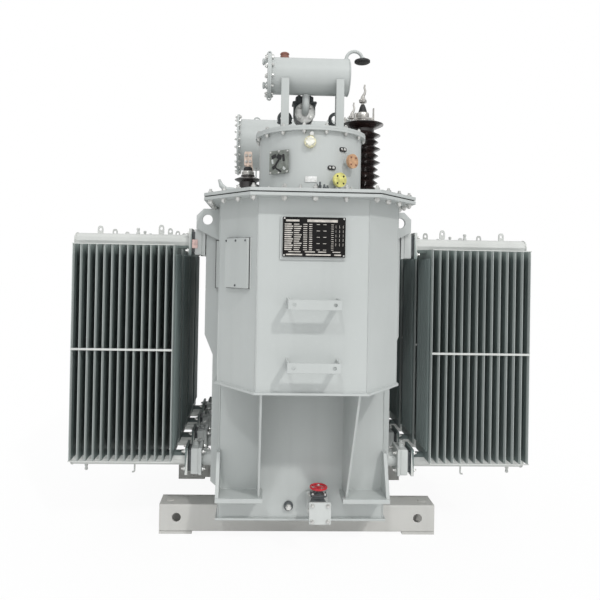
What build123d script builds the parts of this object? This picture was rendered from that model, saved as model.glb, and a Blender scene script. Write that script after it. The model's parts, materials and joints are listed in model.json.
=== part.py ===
from build123d import *
import math
import os

# Oil-filled distribution voltage regulator on a two-beam skid.
# The origin is on the floor, midway between the skid beams. +X is to the right seen from
# the front, +Y runs to the back and +Z is up. All sizes are in millimetres.

os.makedirs("parts", exist_ok=True)

# Skid
beam_length = 1700
beam_height = 165
beam_flange = 150
beam_web = 10
beam_flange_thickness = 13
beam_heel_radius = 8
beam_y = 450
pad_thickness = 15
pad_length = 200
tow_hole_x = 745
tow_hole_z = 100
tow_hole_radius = 27
anchor_x = 790
anchor_hole_radius = 13
skid_top = pad_thickness + beam_height

# Tank
tank_half_width = 480
tank_wall = 10
tank_end_margin = 110
rear_corner_cut = 70
floor_thickness = 12
floor_lip = 15
cover_top = 2035
cover_thickness = 16
gasket_thickness = 6
gasket_inset = 8
gasket_width = 40
rim_thickness = 16
rim_overhang = 85
tank_bottom = skid_top + floor_thickness
cover_bottom = cover_top - cover_thickness
rim_top = cover_bottom - gasket_thickness

# Nose that stands out at the front of the upper tank
nose_front_y = -1250
nose_front_half_width = 277
nose_corner_y = -1000
nose_bottom = 1034
nose_floor_thickness = 12
nose_floor_lip = 14
nose_window_half_width = 380
nose_window_bottom = 1120
nose_window_top = 1920

# Oil duct welded along each side wall
duct_end_reach = 72.5
duct_depth_top = 105
duct_depth_bottom = 55
duct_top = 1960
duct_shoulder = 1880
duct_step_high = 1235
duct_step_low = 1115
duct_toe = 360
duct_bottom = 310

# Radiators
row_count = 4
row_gap = 55
panel_count = 14
panel_pitch = 45
panel_lead = 78
panel_width = 310
panel_thickness = 12
panel_seam_width = 20
panel_seam_thickness = 3
header_radius = 44.5
header_sides = 12
header_low = 477
header_high = 1787
panel_inset = 22
header_overrun = 28
flange_side = 160
flange_thickness = 16
tie_bar_height = 12
tie_bar_depth = 5
tie_bar_sink = 1
tie_bar_z = 1150

# Butterfly valves between ducts and radiators
valve_stub = 5
valve_body_side = 150
valve_body_length = 46
valve_neck_side = 124
valve_neck_length = 20

# Gussets and jacking pads
gusset_x = 247
gusset_thickness = 12
jack_pad_z = 332
jack_pad_thickness = 25
jack_pad_reach = 146
jack_pad_width = 265
jack_pad_outer_x = 490
jack_gusset_height = 250
jack_gusset_top_reach = 45
jack_gusset_thickness = 20
jack_gusset_toe = 8

# Lifting lugs on the side walls
lug_thickness = 25
lug_gap = 8
lug_reach = 162
lug_nose = 42
lug_nose_low = 120
lug_height = 200
lug_top = 1985
lug_hole_reach = 97
lug_hole_drop = 64
lug_hole_radius = 30

# Steps and plates on the nose
step_width = 256
step_reach = 130
step_height = 48
step_thickness = 8
step_hole_radius = 9
step_hole_inset = 30
step_levels = (1153, 1452)
plate_width = 309
plate_height = 196
plate_z = 1802
plate_thickness = 8
plate_stand_off = 12
plate_margin = 15
handhole_width = 186
handhole_height = 254
handhole_z = 1668
handhole_thickness = 24
handhole_shift = 12
plug_x = -72
plug_z = 263
plug_radius = 25
plug_length = 30

# Turret over the nose, with its lid
turret_y = -955
turret_radius = 275
turret_wall = 8
turret_rim_radius = 297
turret_rim_thickness = 12
lid_thickness = 12
turret_top = 2360
turret_rim_top = turret_top - lid_thickness

# Small conservator on the turret lid
expansion_radius = 98
expansion_half_length = 214
expansion_x = -16
expansion_z = 2690
expansion_end_radius = 118
expansion_end_thickness = 10
seat_gap = 0.3
leg_x = 146
leg_width = 42
leg_thickness = 8
leg_top = 2650
leg_foot_depth = 185
filler_x = -148
filler_radius = 24
filler_height = 34

# Vent pipe
vent_x = 190
vent_bend_radius = 44
vent_pipe_radius = 9
vent_rise = 4
vent_cap_radius = 43
vent_cap_height = 20

# Gas relay under the small conservator
relay_x = -28
relay_z = 2508
relay_front_y = -905
relay_pipe_radius = 20
relay_flange_radius = 57
relay_flange_thickness = 10
relay_body_radius = 46
relay_body_length = 110
relay_bend = 48
relay_bend_radius = 36

# Lifting eyes on the turret lid
eye_places_x = (-137, 153)
eye_y = -830
eye_foot_radius = 20
eye_foot_height = 90
eye_ring_radius = 42
eye_thickness = 14
eye_sink = 6

# Fittings on the turret wall, placed by their angle from the front
sight_angle = -5
sight_z = 2277
sight_radius = 28
sight_length = 26
turret_plate_angle = -38
turret_plate_z = 2182
turret_plate_side = 118
turret_plate_margin = 20
turret_plate_stand_off = 10
turret_plate_thickness = 4
port_pipe_radius = 22
port_cap_radius = 36
port_cap_thickness = 16
port_reach = 30
ports = (("port_lower_cap", 23.5, 2090), ("port_upper_cap", 38, 2191))
wall_sink = 20

# Main conservator at the rear
drum_y = 650
drum_z = 2626
drum_radius = 207
drum_half_length = 455
drum_flange_radius = 245
drum_flange_thickness = 14
drum_leg_x = 300
drum_leg_half_width = 70
drum_leg_thickness = 12

# High voltage bushings
hv_x = 344
hv_rows = (-620, -220, 180)
hv_core_radius = 70
hv_shed_radius = 109
hv_small_shed_radius = 97
hv_shed_pitch = 41
hv_shed_count = 9
hv_first_shed_z = 2098
hv_base_radius = 118
hv_base_height = 40
hv_top_shed_z = 2514
hv_top_shed_drop = 30
hv_top_shed_radius = 125
hv_porcelain_top = 2546
hv_cap_radius = 36
hv_cap_height = 42
hv_cap_margin = 6
hv_cone_radius = 22
hv_cone_height = 40
hv_stud_top = 2760
hv_stud_radius = 10
shed_edge = 4
lv_skirt_slope = 13

# Low voltage bushings
lv_x = -341
lv_rows = (-720, -440, -160, 120)
lv_radius = 50
lv_shed_radius = 77
lv_skirt_z = 2150
lv_skirt_rise = 20
lv_sleeve_radius = 40
lv_ring_z = 2178
lv_ring_radius = 34
lv_ring_height = 26
lv_collar_radius = 26
lv_collar_height = 30
lv_flag_width = 44
lv_flag_thickness = 12
lv_flag_height = 84
lv_flag_hole_radius = 7

# Drain valve
drain_x = 91
drain_z = 302
drain_flange_side = 120
drain_flange_thickness = 14
drain_face_reach = 205
drain_inner_flange_reach = 36
drain_body_radius = 42
bonnet_radius = 26
bonnet_height = 78
stem_radius = 6
stem_clearance = 0.08
stem_overrun = 8
wheel_z = 409
wheel_radius = 51
wheel_rim_radius = 6.5
wheel_hub_radius = 11
wheel_hub_height = 16
wheel_spokes = 5
wheel_spoke_width = 9
wheel_spoke_thickness = 6

# Places that follow from the sizes above: the radiator rows set the length of ducts and tank,
# and the duct depth sets where the valves and radiators start
row_pitch = panel_width + row_gap
radiator_rows = [(row - (row_count - 1) / 2) * row_pitch for row in range(row_count)]
duct_half_length = radiator_rows[-1] + duct_end_reach
tank_half_length = duct_half_length + tank_end_margin
front_wall_y = -tank_half_length
valve_flange_x = tank_half_width + duct_depth_top + valve_stub
radiator_flange_x = valve_flange_x + flange_thickness + valve_body_length + valve_neck_length
panel_first_x = radiator_flange_x + flange_thickness + panel_lead
wheel_y = front_wall_y - drain_face_reach / 2

sides = (("left", -1), ("right", 1))


def finish(builder, name):
    """Label a finished piece and write its STEP file."""
    builder.part.label = name
    export_step(builder.part, f"parts/{name}.step")


def finish_copies(form, name, places):
    """Repeat a piece that was made on the Z axis at each place in plan, as one node."""
    with BuildPart() as copies:
        with Locations(*places):
            add(form.part)
    finish(copies, name)


def mirrored(half):
    """Close a plan outline: the right half in order, then its mirror image."""
    return half + [(-x, y) for x, y in reversed(half)]


nose_corners = [(nose_front_half_width, nose_front_y), (tank_half_width, nose_corner_y)]
rear_corners = [
    (tank_half_width, tank_half_length - rear_corner_cut),
    (tank_half_width - rear_corner_cut, tank_half_length),
]
tank_outline = mirrored(nose_corners + rear_corners)
nose_outline = mirrored(nose_corners + [(tank_half_width, front_wall_y)])
box_outline = mirrored([(tank_half_width, front_wall_y)] + rear_corners)

# Skid beams: box sections on end pads with anchor holes; the tow holes pass the outer web
for name, facing in (("skid_beam_front", -1), ("skid_beam_rear", 1)):
    with BuildPart() as beam:
        web_y = facing * (beam_y + beam_flange / 2)
        beam_middle_z = pad_thickness + beam_height / 2
        with BuildSketch(Plane.YZ.offset(-beam_length / 2)):
            with Locations((facing * beam_y, beam_middle_z)):
                Rectangle(beam_flange, beam_height)
            with Locations((facing * beam_y, beam_middle_z)):
                Rectangle(
                    beam_flange - 2 * beam_web,
                    beam_height - 2 * beam_flange_thickness,
                    mode=Mode.SUBTRACT,
                )
        extrude(amount=beam_length)
        heel = beam.edges().filter_by(Axis.X).group_by(Axis.Y)[0 if facing < 0 else -1]
        fillet(heel, beam_heel_radius)
        pad_x = (beam_length - pad_length) / 2
        with BuildSketch(Plane.XY):
            with Locations((-pad_x, facing * beam_y), (pad_x, facing * beam_y)):
                Rectangle(pad_length, beam_flange)
        extrude(amount=pad_thickness)
        with BuildSketch(Plane.XY):
            with Locations((-anchor_x, facing * beam_y), (anchor_x, facing * beam_y)):
                Circle(anchor_hole_radius)
        extrude(amount=pad_thickness + beam_flange_thickness, mode=Mode.SUBTRACT)
        with BuildSketch(Plane.XZ.offset(-web_y)):
            with Locations((-tow_hole_x, tow_hole_z), (tow_hole_x, tow_hole_z)):
                Circle(tow_hole_radius)
        extrude(amount=2 * beam_web, both=True, mode=Mode.SUBTRACT)
    finish(beam, name)

# Tank floor
with BuildPart() as tank_floor:
    with BuildSketch(Plane.XY.offset(skid_top)):
        with BuildLine():
            Polyline(*box_outline, close=True)
        make_face()
        offset(amount=floor_lip, kind=Kind.INTERSECTION)
    extrude(amount=floor_thickness)
finish(tank_floor, "tank_floor")

# Tank shell: a plain box of plate, open to the nose at the upper front
with BuildPart() as tank_shell:
    with BuildSketch(Plane.XY.offset(tank_bottom)):
        with BuildLine():
            Polyline(*box_outline, close=True)
        make_face()
        offset(amount=-tank_wall, kind=Kind.INTERSECTION, mode=Mode.SUBTRACT)
    extrude(amount=rim_top - tank_bottom)
    with BuildSketch(Plane.XZ.offset(-front_wall_y)):
        with Locations((0, (nose_window_bottom + nose_window_top) / 2)):
            Rectangle(2 * nose_window_half_width, nose_window_top - nose_window_bottom)
    extrude(amount=2 * tank_wall, both=True, mode=Mode.SUBTRACT)
finish(tank_shell, "tank_shell")

# Nose shell, open at its back
with BuildPart() as nose_shell:
    with BuildSketch(Plane.XY.offset(nose_bottom)):
        with BuildLine():
            Polyline(*nose_outline, close=True)
        make_face()
        offset(amount=-tank_wall, kind=Kind.INTERSECTION, mode=Mode.SUBTRACT)
        with Locations((0, front_wall_y)):
            Rectangle(2 * (tank_half_width - tank_wall), 4 * tank_wall, mode=Mode.SUBTRACT)
    extrude(amount=rim_top - nose_bottom)
finish(nose_shell, "nose_shell")

# Nose floor, a plate with a small lip all round
with BuildPart() as nose_floor:
    with BuildSketch(Plane.XY.offset(nose_bottom - nose_floor_thickness)):
        with BuildLine():
            Polyline(*nose_outline, close=True)
        make_face()
        offset(amount=nose_floor_lip, kind=Kind.INTERSECTION)
        with Locations((0, front_wall_y + nose_floor_lip)):
            Rectangle(3 * tank_half_width, 2 * nose_floor_lip, mode=Mode.SUBTRACT)
    extrude(amount=nose_floor_thickness)
finish(nose_floor, "nose_floor")

# Rim, gasket and cover follow the wall all round
with BuildPart() as tank_rim:
    with BuildSketch(Plane.XY.offset(rim_top - rim_thickness)):
        with BuildLine():
            Polyline(*tank_outline, close=True)
        make_face()
        offset(amount=rim_overhang, kind=Kind.INTERSECTION)
        with BuildLine():
            Polyline(*tank_outline, close=True)
        make_face(mode=Mode.SUBTRACT)
    extrude(amount=rim_thickness)
finish(tank_rim, "tank_rim")

with BuildPart() as cover_gasket:
    with BuildSketch(Plane.XY.offset(rim_top)):
        with BuildLine():
            Polyline(*tank_outline, close=True)
        make_face()
        offset(amount=rim_overhang - gasket_inset, kind=Kind.INTERSECTION)
        offset(amount=-gasket_width, kind=Kind.INTERSECTION, mode=Mode.SUBTRACT)
    extrude(amount=gasket_thickness)
finish(cover_gasket, "cover_gasket")

with BuildPart() as tank_cover:
    with BuildSketch(Plane.XY.offset(cover_bottom)):
        with BuildLine():
            Polyline(*tank_outline, close=True)
        make_face()
        offset(amount=rim_overhang, kind=Kind.INTERSECTION)
    extrude(amount=cover_thickness)
finish(tank_cover, "tank_cover")

# Oil ducts on both side walls
for side_name, side in sides:
    with BuildPart() as duct:
        with BuildSketch(Plane.XZ.offset(-duct_half_length)):
            with BuildLine():
                Polyline(
                    (side * tank_half_width, duct_top),
                    (side * (tank_half_width + duct_depth_top), duct_shoulder),
                    (side * (tank_half_width + duct_depth_top), duct_step_high),
                    (side * (tank_half_width + duct_depth_bottom), duct_step_low),
                    (side * (tank_half_width + duct_depth_bottom), duct_toe),
                    (side * tank_half_width, duct_bottom),
                    close=True,
                )
            make_face()
        extrude(amount=2 * duct_half_length)
    finish(duct, f"oil_duct_{side_name}")


def make_radiator(side):
    """One plate radiator: flat panels across two header pipes, tied front and back."""
    last_x = panel_first_x + (panel_count - 1) * panel_pitch
    half_width = panel_width / 2
    body_half = half_width - panel_seam_width
    panel_bottom = header_low + panel_inset
    panel_top = header_high - panel_inset
    with BuildPart() as radiator:
        with BuildSketch(Plane.XY.offset(panel_bottom)):
            with Locations(*[(side * (panel_first_x + i * panel_pitch), 0) for i in range(panel_count)]):
                Polygon(
                    (-panel_seam_thickness / 2, -half_width),
                    (panel_seam_thickness / 2, -half_width),
                    (panel_thickness / 2, -body_half),
                    (panel_thickness / 2, body_half),
                    (panel_seam_thickness / 2, half_width),
                    (-panel_seam_thickness / 2, half_width),
                    (-panel_thickness / 2, body_half),
                    (-panel_thickness / 2, -body_half),
                    align=None,
                )
        extrude(amount=panel_top - panel_bottom)
        for header_z in (header_low, header_high):
            with BuildSketch(Plane.YZ.offset(side * (radiator_flange_x + flange_thickness))):
                with Locations((0, header_z)):
                    RegularPolygon(header_radius, header_sides)
            extrude(amount=side * (last_x + header_overrun - radiator_flange_x - flange_thickness))
            with BuildSketch(Plane.YZ.offset(side * radiator_flange_x)):
                with Locations((0, header_z)):
                    Rectangle(flange_side, flange_side)
            extrude(amount=side * flange_thickness)
        bar_length = last_x - panel_first_x + panel_seam_thickness
        bar_y = half_width + tie_bar_depth / 2 - tie_bar_sink
        with Locations((side * (panel_first_x + last_x) / 2, -bar_y, tie_bar_z),
                       (side * (panel_first_x + last_x) / 2, bar_y, tie_bar_z)):
            Box(bar_length, tie_bar_depth, tie_bar_height)
    return radiator


for side_name, side in sides:
    radiator_form = make_radiator(side)
    for number, row_y in enumerate(radiator_rows, start=1):
        finish_copies(radiator_form, f"radiator_{side_name}_{number}", [(0, row_y)])

# Valves: a stub, a flange, the valve body and its neck, at every header
for side_name, side in sides:
    with BuildPart() as valves:
        for level_z, depth in ((header_low, duct_depth_bottom), (header_high, duct_depth_top)):
            body_x = valve_flange_x + flange_thickness
            neck_x = body_x + valve_body_length
            row_places = [(row_y, level_z) for row_y in radiator_rows]
            with BuildSketch(Plane.YZ.offset(side * (tank_half_width + depth))):
                with Locations(*row_places):
                    Circle(header_radius)
            extrude(amount=side * (valve_flange_x - tank_half_width - depth))
            for start_x, end_x, width in (
                (valve_flange_x, body_x, flange_side),
                (body_x, neck_x, valve_body_side),
                (neck_x, radiator_flange_x, valve_neck_side),
            ):
                with BuildSketch(Plane.YZ.offset(side * start_x)):
                    with Locations(*row_places):
                        Rectangle(width, width)
                extrude(amount=side * (end_x - start_x))
    finish(valves, f"radiator_valves_{side_name}")

# Gussets that carry the nose down to the jacking pads
with BuildPart() as nose_gussets:
    for _, side in sides:
        with BuildSketch(Plane.YZ.offset(side * gusset_x - gusset_thickness / 2)):
            with BuildLine():
                Polyline(
                    (front_wall_y, nose_bottom - nose_floor_thickness),
                    (nose_front_y + nose_floor_lip, nose_bottom - nose_floor_thickness),
                    (front_wall_y - jack_pad_reach + jack_gusset_thickness, jack_pad_z + jack_pad_thickness),
                    (front_wall_y, jack_pad_z + jack_pad_thickness),
                    close=True,
                )
            make_face()
        extrude(amount=gusset_thickness)
finish(nose_gussets, "nose_gussets")

# Jacking pads at the four lower corners: a plate with upright gussets on it
with BuildPart() as jack_pads:
    for end, outer_x in ((-1, jack_pad_outer_x), (1, tank_half_width - rear_corner_cut)):
        wall_y = end * tank_half_length
        inner_x = outer_x - jack_pad_width
        gusset_places = [outer_x - jack_gusset_thickness / 2]
        if end > 0:
            gusset_places.append(inner_x + jack_gusset_thickness / 2)
        for _, side in sides:
            with Locations((side * (outer_x + inner_x) / 2, wall_y + end * jack_pad_reach / 2,
                            jack_pad_z + jack_pad_thickness / 2)):
                Box(jack_pad_width, jack_pad_reach, jack_pad_thickness)
            for gusset_place in gusset_places:
                with BuildSketch(Plane.YZ.offset(side * gusset_place - jack_gusset_thickness / 2)):
                    with BuildLine():
                        Polyline(
                            (wall_y, jack_pad_z + jack_pad_thickness),
                            (wall_y + end * (jack_pad_reach - jack_gusset_toe), jack_pad_z + jack_pad_thickness),
                            (wall_y + end * jack_gusset_top_reach, jack_pad_z + jack_gusset_height),
                            (wall_y, jack_pad_z + jack_gusset_height),
                            close=True,
                        )
                    make_face()
                extrude(amount=jack_gusset_thickness)
finish(jack_pads, "jack_pads")

# Lifting lugs high on the side walls, beyond both ends of the ducts
with BuildPart() as lifting_lugs:
    lug_near_y = duct_half_length + lug_gap
    for _, side in sides:
        for lug_start_y in (-lug_near_y - lug_thickness, lug_near_y):
            with BuildSketch(Plane.XZ.offset(-lug_start_y)):
                with BuildLine():
                    Polyline(
                        (side * tank_half_width, lug_top),
                        (side * (tank_half_width + lug_reach - lug_nose), lug_top),
                        (side * (tank_half_width + lug_reach), lug_top - lug_nose),
                        (side * (tank_half_width + lug_reach), lug_top - lug_nose_low),
                        (side * tank_half_width, lug_top - lug_height),
                        close=True,
                    )
                make_face()
                with Locations((side * (tank_half_width + lug_hole_reach), lug_top - lug_hole_drop)):
                    Circle(lug_hole_radius, mode=Mode.SUBTRACT)
            extrude(amount=-lug_thickness)
finish(lifting_lugs, "lifting_lugs")

# Climbing steps on the nose: flat bar bent to a U
with BuildPart() as nose_steps:
    for level in step_levels:
        with BuildSketch(Plane.XY.offset(level)):
            with Locations((0, nose_front_y - step_reach / 2)):
                Rectangle(step_width, step_reach)
            with Locations((0, nose_front_y - (step_reach - step_thickness) / 2)):
                Rectangle(step_width - 2 * step_thickness, step_reach - step_thickness, mode=Mode.SUBTRACT)
        extrude(amount=step_height)
        with BuildSketch(Plane.XZ.offset(-(nose_front_y - step_reach))):
            hole_x = step_width / 2 - step_hole_inset
            with Locations((-hole_x, level + step_height / 2), (hole_x, level + step_height / 2)):
                Circle(step_hole_radius)
        extrude(amount=2 * step_thickness, both=True, mode=Mode.SUBTRACT)
finish(nose_steps, "nose_steps")

# Rating plate on its stand-off frame
with BuildPart() as rating_plate:
    with Locations((0, nose_front_y - plate_stand_off / 2, plate_z)):
        Box(plate_width - 2 * plate_margin, plate_stand_off, plate_height - 2 * plate_margin)
    with Locations((0, nose_front_y - plate_stand_off - plate_thickness / 2, plate_z)):
        Box(plate_width, plate_thickness, plate_height)
finish(rating_plate, "rating_plate")

# Handhole cover on the left slanting face of the nose
slant_run = tank_half_width - nose_front_half_width
slant_depth = nose_corner_y - nose_front_y
handhole_plane = Plane(
    origin=(-(tank_half_width + nose_front_half_width) / 2, (nose_corner_y + nose_front_y) / 2, handhole_z),
    x_dir=(slant_run, -slant_depth, 0),
    z_dir=(-slant_depth, -slant_run, 0),
)
with BuildPart() as handhole_cover:
    with BuildSketch(handhole_plane):
        with Locations((handhole_shift, 0)):
            Rectangle(handhole_width, handhole_height)
    extrude(amount=handhole_thickness)
finish(handhole_cover, "handhole_cover")

# Sampling plug low on the front wall
with BuildPart() as sampling_plug:
    with BuildSketch(Plane.XZ.offset(-front_wall_y)):
        with Locations((plug_x, plug_z)):
            Circle(plug_radius)
    extrude(amount=plug_length)
finish(sampling_plug, "sampling_plug")

# Turret shell with its rim, and the lid on top
with BuildPart() as turret_shell:
    with BuildSketch(Plane.XY.offset(cover_top)):
        with Locations((0, turret_y)):
            Circle(turret_radius)
    extrude(amount=turret_rim_top - cover_top)
    with BuildSketch(Plane.XY.offset(turret_rim_top - turret_rim_thickness)):
        with Locations((0, turret_y)):
            Circle(turret_rim_radius)
    extrude(amount=turret_rim_thickness)
    with BuildSketch(Plane.XY.offset(cover_top)):
        with Locations((0, turret_y)):
            Circle(turret_radius - turret_wall)
    extrude(amount=turret_rim_top - cover_top, mode=Mode.SUBTRACT)
finish(turret_shell, "turret_shell")

with BuildPart() as turret_core:
    with BuildSketch(Plane.XY.offset(cover_top)):
        with Locations((0, turret_y)):
            Circle(turret_radius)
    extrude(amount=turret_top - cover_top)

with BuildPart() as turret_lid:
    with BuildSketch(Plane.XY.offset(turret_rim_top)):
        with Locations((0, turret_y)):
            Circle(turret_rim_radius)
    extrude(amount=lid_thickness)
finish(turret_lid, "turret_lid")

# Small conservator with its end plate on the left
with BuildPart() as expansion_tank:
    with BuildSketch(Plane.YZ.offset(expansion_x - expansion_half_length)):
        with Locations((turret_y, expansion_z)):
            Circle(expansion_radius)
    extrude(amount=2 * expansion_half_length)
    with BuildSketch(Plane.YZ.offset(expansion_x - expansion_half_length)):
        with Locations((turret_y, expansion_z)):
            Circle(expansion_end_radius)
    extrude(amount=expansion_end_thickness)
finish(expansion_tank, "expansion_tank")

with BuildPart() as expansion_end:
    with BuildSketch(Plane.YZ.offset(expansion_x - expansion_half_length)):
        with Locations((turret_y, expansion_z)):
            Circle(expansion_end_radius)
    extrude(amount=-expansion_end_thickness)
finish(expansion_end, "expansion_end")

# Legs of the small conservator: a strap in front, a web behind it under the drum, and a foot
with BuildPart() as expansion_legs:
    strap_y = turret_y - expansion_radius - seat_gap - leg_thickness / 2
    foot_y = strap_y - leg_thickness / 2 + leg_foot_depth / 2
    for _, side in sides:
        with Locations((side * leg_x, strap_y, (leg_top + turret_top) / 2)):
            Box(leg_width, leg_thickness, leg_top - turret_top)
        with Locations((side * leg_x, foot_y, (leg_top + turret_top) / 2)):
            Box(leg_thickness, leg_foot_depth, leg_top - turret_top)
        with Locations((side * leg_x, foot_y, turret_top + leg_thickness / 2)):
            Box(leg_width, leg_foot_depth, leg_thickness)
    with BuildSketch(Plane.YZ.offset(-leg_x - leg_width)):
        with Locations((turret_y, expansion_z)):
            Circle(expansion_radius + seat_gap)
    extrude(amount=2 * (leg_x + leg_width), mode=Mode.SUBTRACT)
finish(expansion_legs, "expansion_legs")

# Filler cap on top of the small conservator
with BuildPart() as filler_cap:
    with BuildSketch(Plane.XY.offset(expansion_z + expansion_radius + seat_gap)):
        with Locations((filler_x, turret_y)):
            Circle(filler_radius)
    extrude(amount=filler_height)
finish(filler_cap, "filler_cap")

# Vent: a pipe that turns over at the top and carries a cap
vent_base_z = expansion_z + expansion_radius + seat_gap
vent_bend_z = vent_base_z + vent_rise
with BuildPart() as vent_pipe:
    with BuildLine() as vent_path:
        Line((vent_x, turret_y, vent_base_z), (vent_x, turret_y, vent_bend_z))
        ThreePointArc(
            (vent_x, turret_y, vent_bend_z),
            (vent_x + vent_bend_radius, turret_y, vent_bend_z + vent_bend_radius),
            (vent_x + 2 * vent_bend_radius, turret_y, vent_bend_z),
        )
    with BuildSketch(Plane.XY.offset(vent_base_z)):
        with Locations((vent_x, turret_y)):
            Circle(vent_pipe_radius)
    sweep(path=vent_path.wires()[0])
finish(vent_pipe, "vent_pipe")

with BuildPart() as vent_cap:
    with BuildSketch(Plane.XY.offset(vent_bend_z - vent_cap_height)):
        with Locations((vent_x + 2 * vent_bend_radius, turret_y)):
            Circle(vent_cap_radius)
    extrude(amount=vent_cap_height)
finish(vent_cap, "vent_cap")

# Gas relay under the small conservator, between two bent pipes
relay_feed_y = relay_front_y - relay_bend
relay_back_y = relay_front_y + 2 * relay_flange_thickness + relay_body_length
relay_drop_y = relay_back_y + relay_bend
relay_feed_top = expansion_z - expansion_radius - seat_gap
with BuildPart() as relay_pipes:
    with BuildLine() as feed_path:
        FilletPolyline(
            (relay_x, relay_feed_y, relay_feed_top),
            (relay_x, relay_feed_y, relay_z),
            (relay_x, relay_front_y, relay_z),
            radius=relay_bend_radius,
        )
    with BuildSketch(Plane.XY.offset(relay_feed_top)):
        with Locations((relay_x, relay_feed_y)):
            Circle(relay_pipe_radius)
    sweep(path=feed_path.wires()[0])
    with BuildLine() as drop_path:
        FilletPolyline(
            (relay_x, relay_back_y, relay_z),
            (relay_x, relay_drop_y, relay_z),
            (relay_x, relay_drop_y, turret_top),
            radius=relay_bend_radius,
        )
    with BuildSketch(Plane.XZ.offset(-relay_back_y)):
        with Locations((relay_x, relay_z)):
            Circle(relay_pipe_radius)
    sweep(path=drop_path.wires()[0])
finish(relay_pipes, "relay_pipes")

with BuildPart() as gas_relay:
    for start_y, length, radius in (
        (relay_front_y, relay_flange_thickness, relay_flange_radius),
        (relay_front_y + relay_flange_thickness, relay_body_length, relay_body_radius),
        (relay_back_y - relay_flange_thickness, relay_flange_thickness, relay_flange_radius),
    ):
        with BuildSketch(Plane.XZ.offset(-start_y)):
            with Locations((relay_x, relay_z)):
                Circle(radius)
        extrude(amount=-length)
finish(gas_relay, "gas_relay")

# Lifting eyes on the turret lid
with BuildPart() as lid_eyes:
    with BuildSketch(Plane.XY.offset(turret_top)):
        with Locations(*[(eye_x, eye_y) for eye_x in eye_places_x]):
            Circle(eye_foot_radius)
    extrude(amount=eye_foot_height)
    ring_z = turret_top + eye_foot_height + eye_ring_radius - eye_sink
    with BuildSketch(Plane.XZ.offset(-(eye_y - eye_thickness / 2))):
        with Locations(*[(eye_x, ring_z) for eye_x in eye_places_x]):
            Circle(eye_ring_radius)
            Circle(eye_ring_radius - eye_thickness, mode=Mode.SUBTRACT)
    extrude(amount=-eye_thickness)
finish(lid_eyes, "lid_eyes")


def turret_plane(angle, height):
    """Plane that touches the turret wall at this angle from the front, facing outwards."""
    turn = math.radians(angle)
    direction = Vector(math.sin(turn), -math.cos(turn), 0)
    origin = Vector(0, turret_y, height) + direction * turret_radius
    return Plane(origin=origin, x_dir=(-direction.Y, direction.X, 0), z_dir=direction)


# Fittings on the turret wall: oil sight, small plate and two capped ports
with BuildPart() as oil_sight:
    with BuildSketch(turret_plane(sight_angle, sight_z).offset(-wall_sink)):
        Circle(sight_radius)
    extrude(amount=sight_length + wall_sink)
    add(turret_core.part, mode=Mode.SUBTRACT)
finish(oil_sight, "oil_sight")

with BuildPart() as turret_plate:
    with BuildSketch(turret_plane(turret_plate_angle, turret_plate_z).offset(-wall_sink)):
        Rectangle(turret_plate_side - 2 * turret_plate_margin, turret_plate_side - 2 * turret_plate_margin)
    extrude(amount=turret_plate_stand_off + wall_sink)
    with BuildSketch(turret_plane(turret_plate_angle, turret_plate_z).offset(turret_plate_stand_off)):
        Rectangle(turret_plate_side, turret_plate_side)
    extrude(amount=turret_plate_thickness)
    add(turret_core.part, mode=Mode.SUBTRACT)
finish(turret_plate, "turret_plate")

with BuildPart() as port_pipes:
    for _, angle, height in ports:
        with BuildSketch(turret_plane(angle, height).offset(-wall_sink)):
            Circle(port_pipe_radius)
        extrude(amount=port_reach + wall_sink)
    add(turret_core.part, mode=Mode.SUBTRACT)
finish(port_pipes, "port_pipes")

for name, angle, height in ports:
    with BuildPart() as port_cap:
        with BuildSketch(turret_plane(angle, height).offset(port_reach)):
            Circle(port_cap_radius)
        extrude(amount=port_cap_thickness)
    finish(port_cap, name)

# Main conservator at the rear, on two legs
with BuildPart() as main_conservator:
    with BuildSketch(Plane.YZ.offset(-drum_half_length)):
        with Locations((drum_y, drum_z)):
            Circle(drum_radius)
    extrude(amount=2 * drum_half_length)
    for end in (-1, 1):
        with BuildSketch(Plane.YZ.offset(end * drum_half_length)):
            with Locations((drum_y, drum_z)):
                Circle(drum_flange_radius)
        extrude(amount=-end * drum_flange_thickness)
finish(main_conservator, "main_conservator")

with BuildPart() as conservator_legs:
    leg_height = drum_z - cover_top
    with Locations((-drum_leg_x, drum_y, cover_top + leg_height / 2),
                   (drum_leg_x, drum_y, cover_top + leg_height / 2)):
        Box(drum_leg_thickness, 2 * drum_leg_half_width, leg_height)
    with BuildSketch(Plane.YZ.offset(-drum_half_length)):
        with Locations((drum_y, drum_z)):
            Circle(drum_radius + seat_gap)
    extrude(amount=2 * drum_half_length, mode=Mode.SUBTRACT)
finish(conservator_legs, "conservator_legs")


def shed_profile(core, start_z, pitch, count, radii):
    """Outline points of a stack of sheds that meet at the core, with the given radii in turn."""
    points = [(core, start_z)]
    for i in range(count):
        middle = start_z + (i + 0.5) * pitch
        points += [(radii[i % len(radii)], middle), (core, start_z + (i + 1) * pitch)]
    return points


# High voltage bushings: base, porcelain with sheds, a wide top shed, cap and terminal
hv_places = [(hv_x, row_y) for row_y in hv_rows]
with BuildPart() as hv_base:
    with BuildSketch(Plane.XY.offset(cover_top)):
        Circle(hv_base_radius)
    extrude(amount=hv_base_height)
finish_copies(hv_base, "hv_bases", hv_places)

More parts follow.
